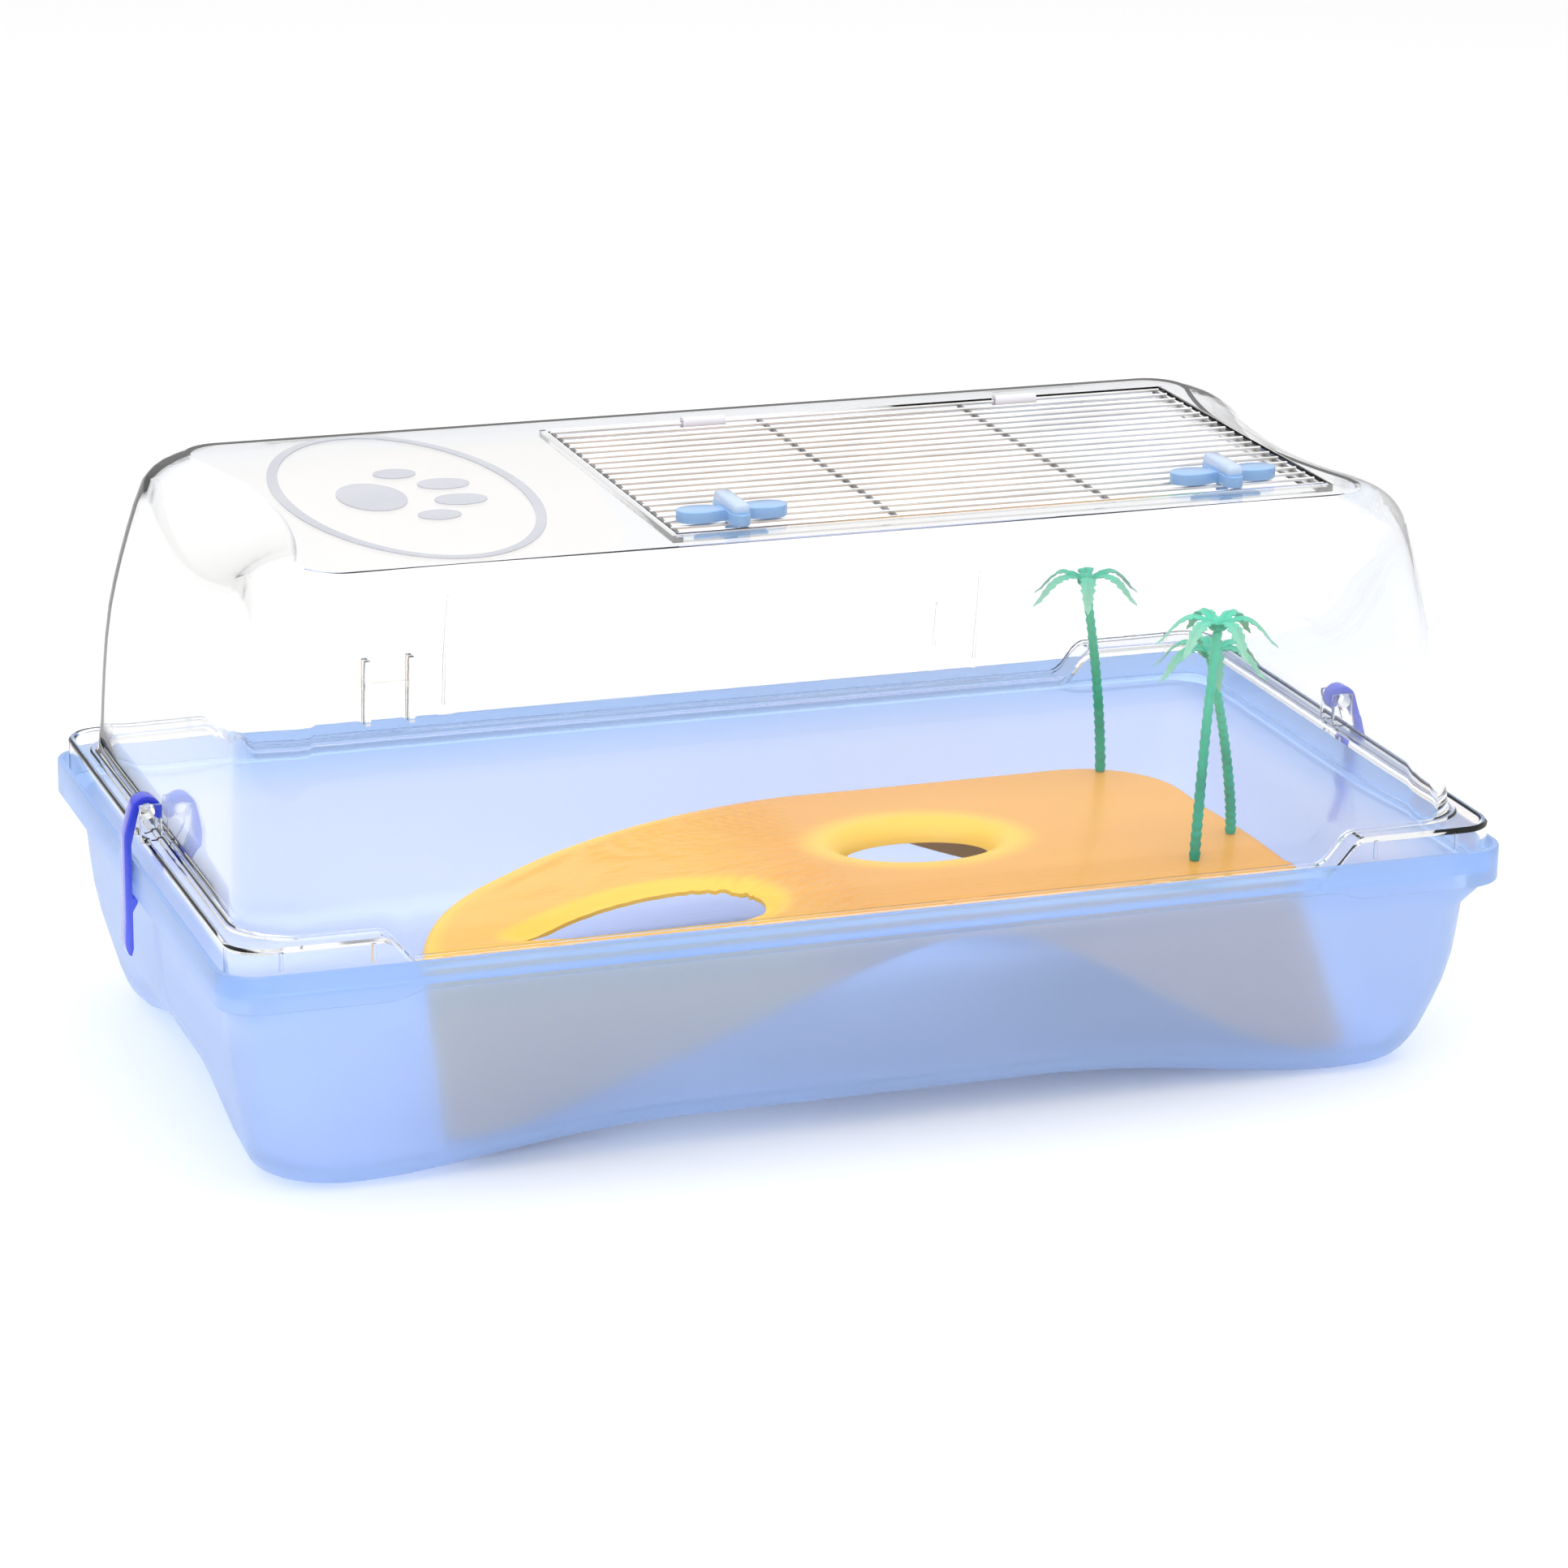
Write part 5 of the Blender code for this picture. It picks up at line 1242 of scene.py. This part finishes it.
    def build(self, material: bpy.types.Material) -> bpy.types.Object:
        """Make the island."""
        reach = self.reach()
        hole = self.hole_outline()
        wx, wy = self.well
        skirt, curve, deck, lip = 8, 5, self.deck_rings, 7
        rings: list[list[Point]] = [[] for _ in range(skirt + curve + deck + lip)]
        for k in range(self.directions):
            a = k * math.tau / self.directions - math.pi
            ux, uy = math.cos(a), math.sin(a)
            r = reach(a)
            edge = (wx + ux * r, wy + uy * r)
            foot = self.foot(*edge)
            stand = self.tray.wall + self.tray.floor_rise(*foot) + self.foot_clear
            low = stand + self.arch(a)
            share = (self.deck - low) / (self.deck - stand)
            at = 0
            for step in range(skirt):
                t = share * (1 - step / skirt)
                z = low + (self.deck - self.edge_radius - low) * step / skirt
                rings[at].append((edge[0] + (foot[0] - edge[0]) * t,
                                  edge[1] + (foot[1] - edge[1]) * t, z))
                at += 1
            for step in range(curve):
                q = math.pi / 2 * step / (curve - 1)
                inwards = self.edge_radius * (1 - math.cos(q))
                rings[at].append((edge[0] - ux * inwards, edge[1] - uy * inwards,
                                  self.deck - self.edge_radius * (1 - math.sin(q))))
                at += 1
            well_r = 1 / math.hypot(ux / self.well_half[0], uy / self.well_half[1])
            outer, inner = r - self.edge_radius - 0.001, well_r + self.well_lip
            for step in range(deck):
                rr = outer + (inner - outer) * step / (deck - 1)
                x, y = wx + ux * rr, wy + uy * rr
                fade = smooth_step(step, 0, 2) * smooth_step(deck - 1 - step, 0, 2)
                rings[at].append((x, y, self.deck + self.relief(x, y, hole) * fade))
                at += 1
            for step in range(lip):
                t = (step + 1) / lip
                rr = well_r + self.well_lip * (1 - t) ** 1.5
                rings[at].append((wx + ux * rr, wy + uy * rr,
                                  self.deck - self.well_dip * t * t))
                at += 1
        island = make_piece("island_deck", Loft.through(rings, closed=False), 40)
        shell = island.modifiers.new("wall", "SOLIDIFY")
        shell.thickness = self.wall
        shell.offset = -1.0
        settle(island, 40)
        combine(island, shaped(add_slab, [(x, y, self.deck - 0.016) for x, y in hole],
                               (0, 0, 0.03)), "DIFFERENCE")
        # Painted highlight: the lips and the sloping arm are painted brighter yellow, standing in for
        # light catching them.
        tone(island, lambda at, normal: self.painted_lip_highlight(at, hole, reach))
        return dress(island, material, "island_plastic", Body.ISLAND, "island")


@dataclass
class Palm:
    """A ringed trunk and a crown of notched, drooping fronds."""

    name: str
    base: Point
    height: float
    lean: float
    first_frond: float
    trunk_radius: float = 0.0024
    trunk_rings: int = 22
    into_crown: float = 0.004
    fronds: int = 6
    frond_length: float = 0.027
    frond_width: float = 0.0074
    droop: float = 0.010
    notches: int = 8

    def axis(self, share: float) -> Vector:
        """A point on the trunk's gently curved axis."""
        tall = self.height - self.into_crown
        return Vector((self.base[0] + self.lean * share**1.6, self.base[1],
                       self.base[2] + tall * share))

    def trunk(self, material: bpy.types.Material) -> None:
        """Make the trunk with its sawtooth rings of old leaf bases."""
        rings = []
        steps = 4
        for k in range(self.trunk_rings * steps + 1):
            share = k / (self.trunk_rings * steps)
            centre = self.axis(share)
            tooth = (k % steps) / steps
            r = self.trunk_radius * (0.84 + 0.30 * tooth) * (1 - 0.18 * share)
            rings.append(oval(centre.x, centre.y, centre.z, r, r, 14))
        trunk = make_piece(f"trunk_{self.name}", Loft.through(rings), 50)
        foot = self.base[2]
        tone(trunk, lambda at, normal: smooth_step(at.z, foot + 0.3 * self.height,
                                                   foot + self.height))
        dress(trunk, material, "palm_trunk_plastic", Body.ISLAND, f"palm_trunk_{self.name}")

    def frond(self, k: int) -> bmesh.types.BMesh:
        """One frond, along +X before it is turned."""
        rings = []
        steps = self.notches * 4
        for step in range(steps + 1):
            t = step / steps
            reach = 0.0022 + t * (self.frond_length * (1 - 0.03 * (k % 3)) - 0.0022)
            envelope = math.sin(math.pi * min(t * 0.85 + 0.13, 0.985)) ** 0.8
            notch = 1 - 0.45 * ((t * self.notches) % 1.0) * smooth_step(t, 0.05, 0.25)
            half = self.frond_width / 2 * envelope * notch
            z = (0.0031 + 0.0042 * math.sin(math.pi * min(t * 1.15, 1.0))
                 - self.droop * (1 - 0.08 * (k % 2)) * t**2.4)
            thick = 0.00050 - 0.0002 * t
            sag = half * 0.22
            rings.append([(reach, -half, z - sag - thick), (reach, half, z - sag - thick),
                          (reach, half, z - sag), (reach, half * 0.12, z),
                          (reach, 0.0, z + thick), (reach, -half * 0.12, z),
                          (reach, -half, z - sag)])
        return Loft.through(rings)

    def crown(self, material: bpy.types.Material) -> None:
        """Make the hub and its fronds."""
        top = self.axis(1.0) + Vector((0, 0, 0.0003))
        hub_profile = ((0.0022, 0.0), (0.0034, 0.0006), (0.0040, 0.0015), (0.0040, 0.0028),
                       (0.0036, 0.0042), (0.0026, 0.0053), (0.0012, 0.0058))
        hub = Loft.through([oval(top.x, top.y, top.z + h, r, r, 20) for r, h in hub_profile])
        crown = make_piece(f"crown_{self.name}", hub, 50)
        for k in range(self.fronds):
            frond = self.frond(k)
            turn = Matrix.Rotation(math.radians(self.first_frond + k * 360 / self.fronds), 3, "Z")
            bmesh.ops.rotate(frond, cent=(0, 0, 0), matrix=turn, verts=frond.verts)
            bmesh.ops.translate(frond, vec=top, verts=frond.verts)
            combine(crown, frond, "UNION")
        tone(crown, lambda at, normal: smooth_step(math.hypot(at.x - top.x, at.y - top.y),
                                                   0.006, self.frond_length))
        dress(crown, material, "palm_leaf_plastic", Body.ISLAND, f"palm_crown_{self.name}")


# ---- studio ----------------------------------------------------------------------------------
@dataclass
class Studio:
    """Pale floor, soft lights and the camera."""

    azimuth: float = -19.9
    elevation: float = 17.8
    roll: float = 0.9
    lens: float = 121.9
    target: Point = (-0.0242, -0.0902, 0.1375)
    distance: float = 2.1615

    def camera(self) -> None:
        """Place the camera at the viewing angle."""
        az, el, roll = (math.radians(v) for v in (self.azimuth, self.elevation, self.roll))
        back = Vector((math.sin(az) * math.cos(el), -math.cos(az) * math.cos(el), math.sin(el)))
        right = (-back).cross(Vector((0, 0, 1))).normalized()
        up = right.cross(-back).normalized()
        rolled_right = right * math.cos(roll) + up * math.sin(roll)
        rolled_up = up * math.cos(roll) - right * math.sin(roll)
        data = bpy.data.cameras.new("view")
        data.lens = self.lens
        data.sensor_width = 36.0
        camera = bpy.data.objects.new("view", data)
        turn = Matrix((rolled_right, rolled_up, back)).transposed().to_4x4()
        camera.matrix_world = Matrix.Translation(Vector(self.target) + back * self.distance) @ turn
        bpy.context.scene.collection.objects.link(camera)
        bpy.context.scene.camera = camera

    @staticmethod
    def lamp(name: str, place: Point, aim: Point, size: float, power: float) -> None:
        """Hang a soft square light."""
        data = bpy.data.lights.new(name, "AREA")
        data.size = size
        data.energy = power
        lamp = bpy.data.objects.new(name, data)
        lamp.location = place
        lamp.rotation_mode = "QUATERNION"
        lamp.rotation_quaternion = (Vector(aim) - Vector(place)).to_track_quat("-Z", "Y")
        bpy.context.scene.collection.objects.link(lamp)

    @staticmethod
    def air() -> None:
        """Light from all round: white overhead, greyer near the horizon to draw clear edges."""
        world = bpy.data.worlds.new("studio_air")
        world.use_nodes = True
        tree = world.node_tree
        direction = tree.nodes.new("ShaderNodeTexCoord")
        split = tree.nodes.new("ShaderNodeSeparateXYZ")
        fade = tree.nodes.new("ShaderNodeMapRange")
        fade.inputs["From Min"].default_value = 0.02
        fade.inputs["From Max"].default_value = 0.40
        fade.inputs["To Min"].default_value = 0.50
        fade.inputs["To Max"].default_value = 1.0
        tree.links.new(direction.outputs["Generated"], split.inputs["Vector"])
        tree.links.new(split.outputs["Z"], fade.inputs["Value"])
        tree.links.new(fade.outputs["Result"], tree.nodes["Background"].inputs["Color"])
        tree.nodes["Background"].inputs["Strength"].default_value = 1.0
        bpy.context.scene.world = world

    def build(self) -> None:
        """Lay the floor, hang the lights and place the camera."""
        bm = bmesh.new()
        bmesh.ops.create_grid(bm, x_segments=1, y_segments=1, size=6.0)
        floor = make_piece("studio_floor", bm, 30)
        floor.data.transform(Matrix.Translation((0, 0, -0.0005)))
        pale = bpy.data.materials.new("pale_floor")
        pale.use_nodes = True
        shader = pale.node_tree.nodes["Principled BSDF"]
        shader.inputs["Base Color"].default_value = (0.95, 0.95, 0.95, 1.0)
        shader.inputs["Roughness"].default_value = 0.7
        floor.data.materials.append(pale)
        self.air()
        self.lamp("overhead", (0.0, -0.3, 2.2), (0, 0, 0.1), 2.6, 20.0)
        self.lamp("key", (-1.2, -1.6, 1.6), (0, 0, 0.1), 1.2, 8.0)
        bpy.context.scene.view_settings.view_transform = "Standard"
        self.camera()


def main() -> None:
    """Build every piece in order."""
    logging.basicConfig(level=logging.INFO, format="%(name)s: %(message)s")
    effects = Effects()
    tray_low, tray_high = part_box("tray")
    _, grille_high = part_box("grille")
    _, island_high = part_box("island")
    plan = RimPlan(tray_high.x, tray_high.y)
    tray = Tray(plan, tray_high.z)
    tray.build(TRAY_FINISH.material(effects))
    Hood(plan, tray_high.z, grille_high.z).build(HOOD_FINISH.material(effects),
                                                 EMBLEM_FINISH.material(effects))
    WireLid().build(WIRE_FINISH.material(effects), ROD_FINISH.material(effects))
    knob_plastic = KNOB_FINISH.material(effects)
    latch_plastic = LATCH_FINISH.material(effects)
    clip_plastic = CLIP_FINISH.material(effects)
    for side, knob_body, latch_body in (("left", Body.KNOB_LEFT, Body.LATCH_LEFT),
                                        ("right", Body.KNOB_RIGHT, Body.LATCH_RIGHT)):
        TurnKnob(side, knob_body).build(knob_plastic)
        HingeClip(side).build(clip_plastic)
        EndLatch(side, latch_body).build(latch_plastic, tray.rim_top - tray.band_height)
    island = Island(tray, left=tray_low.x + 0.089, right=tray_high.x - 0.077,
                    front=tray_low.y + 0.028, deck=island_high.z)
    island.build(ISLAND_FINISH.material(effects))
    trunk_plastic = TRUNK_FINISH.material(effects)
    leaf_plastic = LEAF_FINISH.material(effects)
    for name, from_right, from_front, height, lean, first in (
            ("back", 0.0260, 0.1685, 0.091, -0.010, 10),
            ("front", 0.0390, 0.0350, 0.106, 0.006, 35),
            ("side", 0.0095, 0.0640, 0.085, -0.013, 15)):
        palm = Palm(name, (island.right - from_right, island.front + from_front,
                           island.deck + 0.0003), height, lean, first)
        palm.trunk(trunk_plastic)
        palm.crown(leaf_plastic)
    Studio().build()


if __name__ == "__main__":
    main()
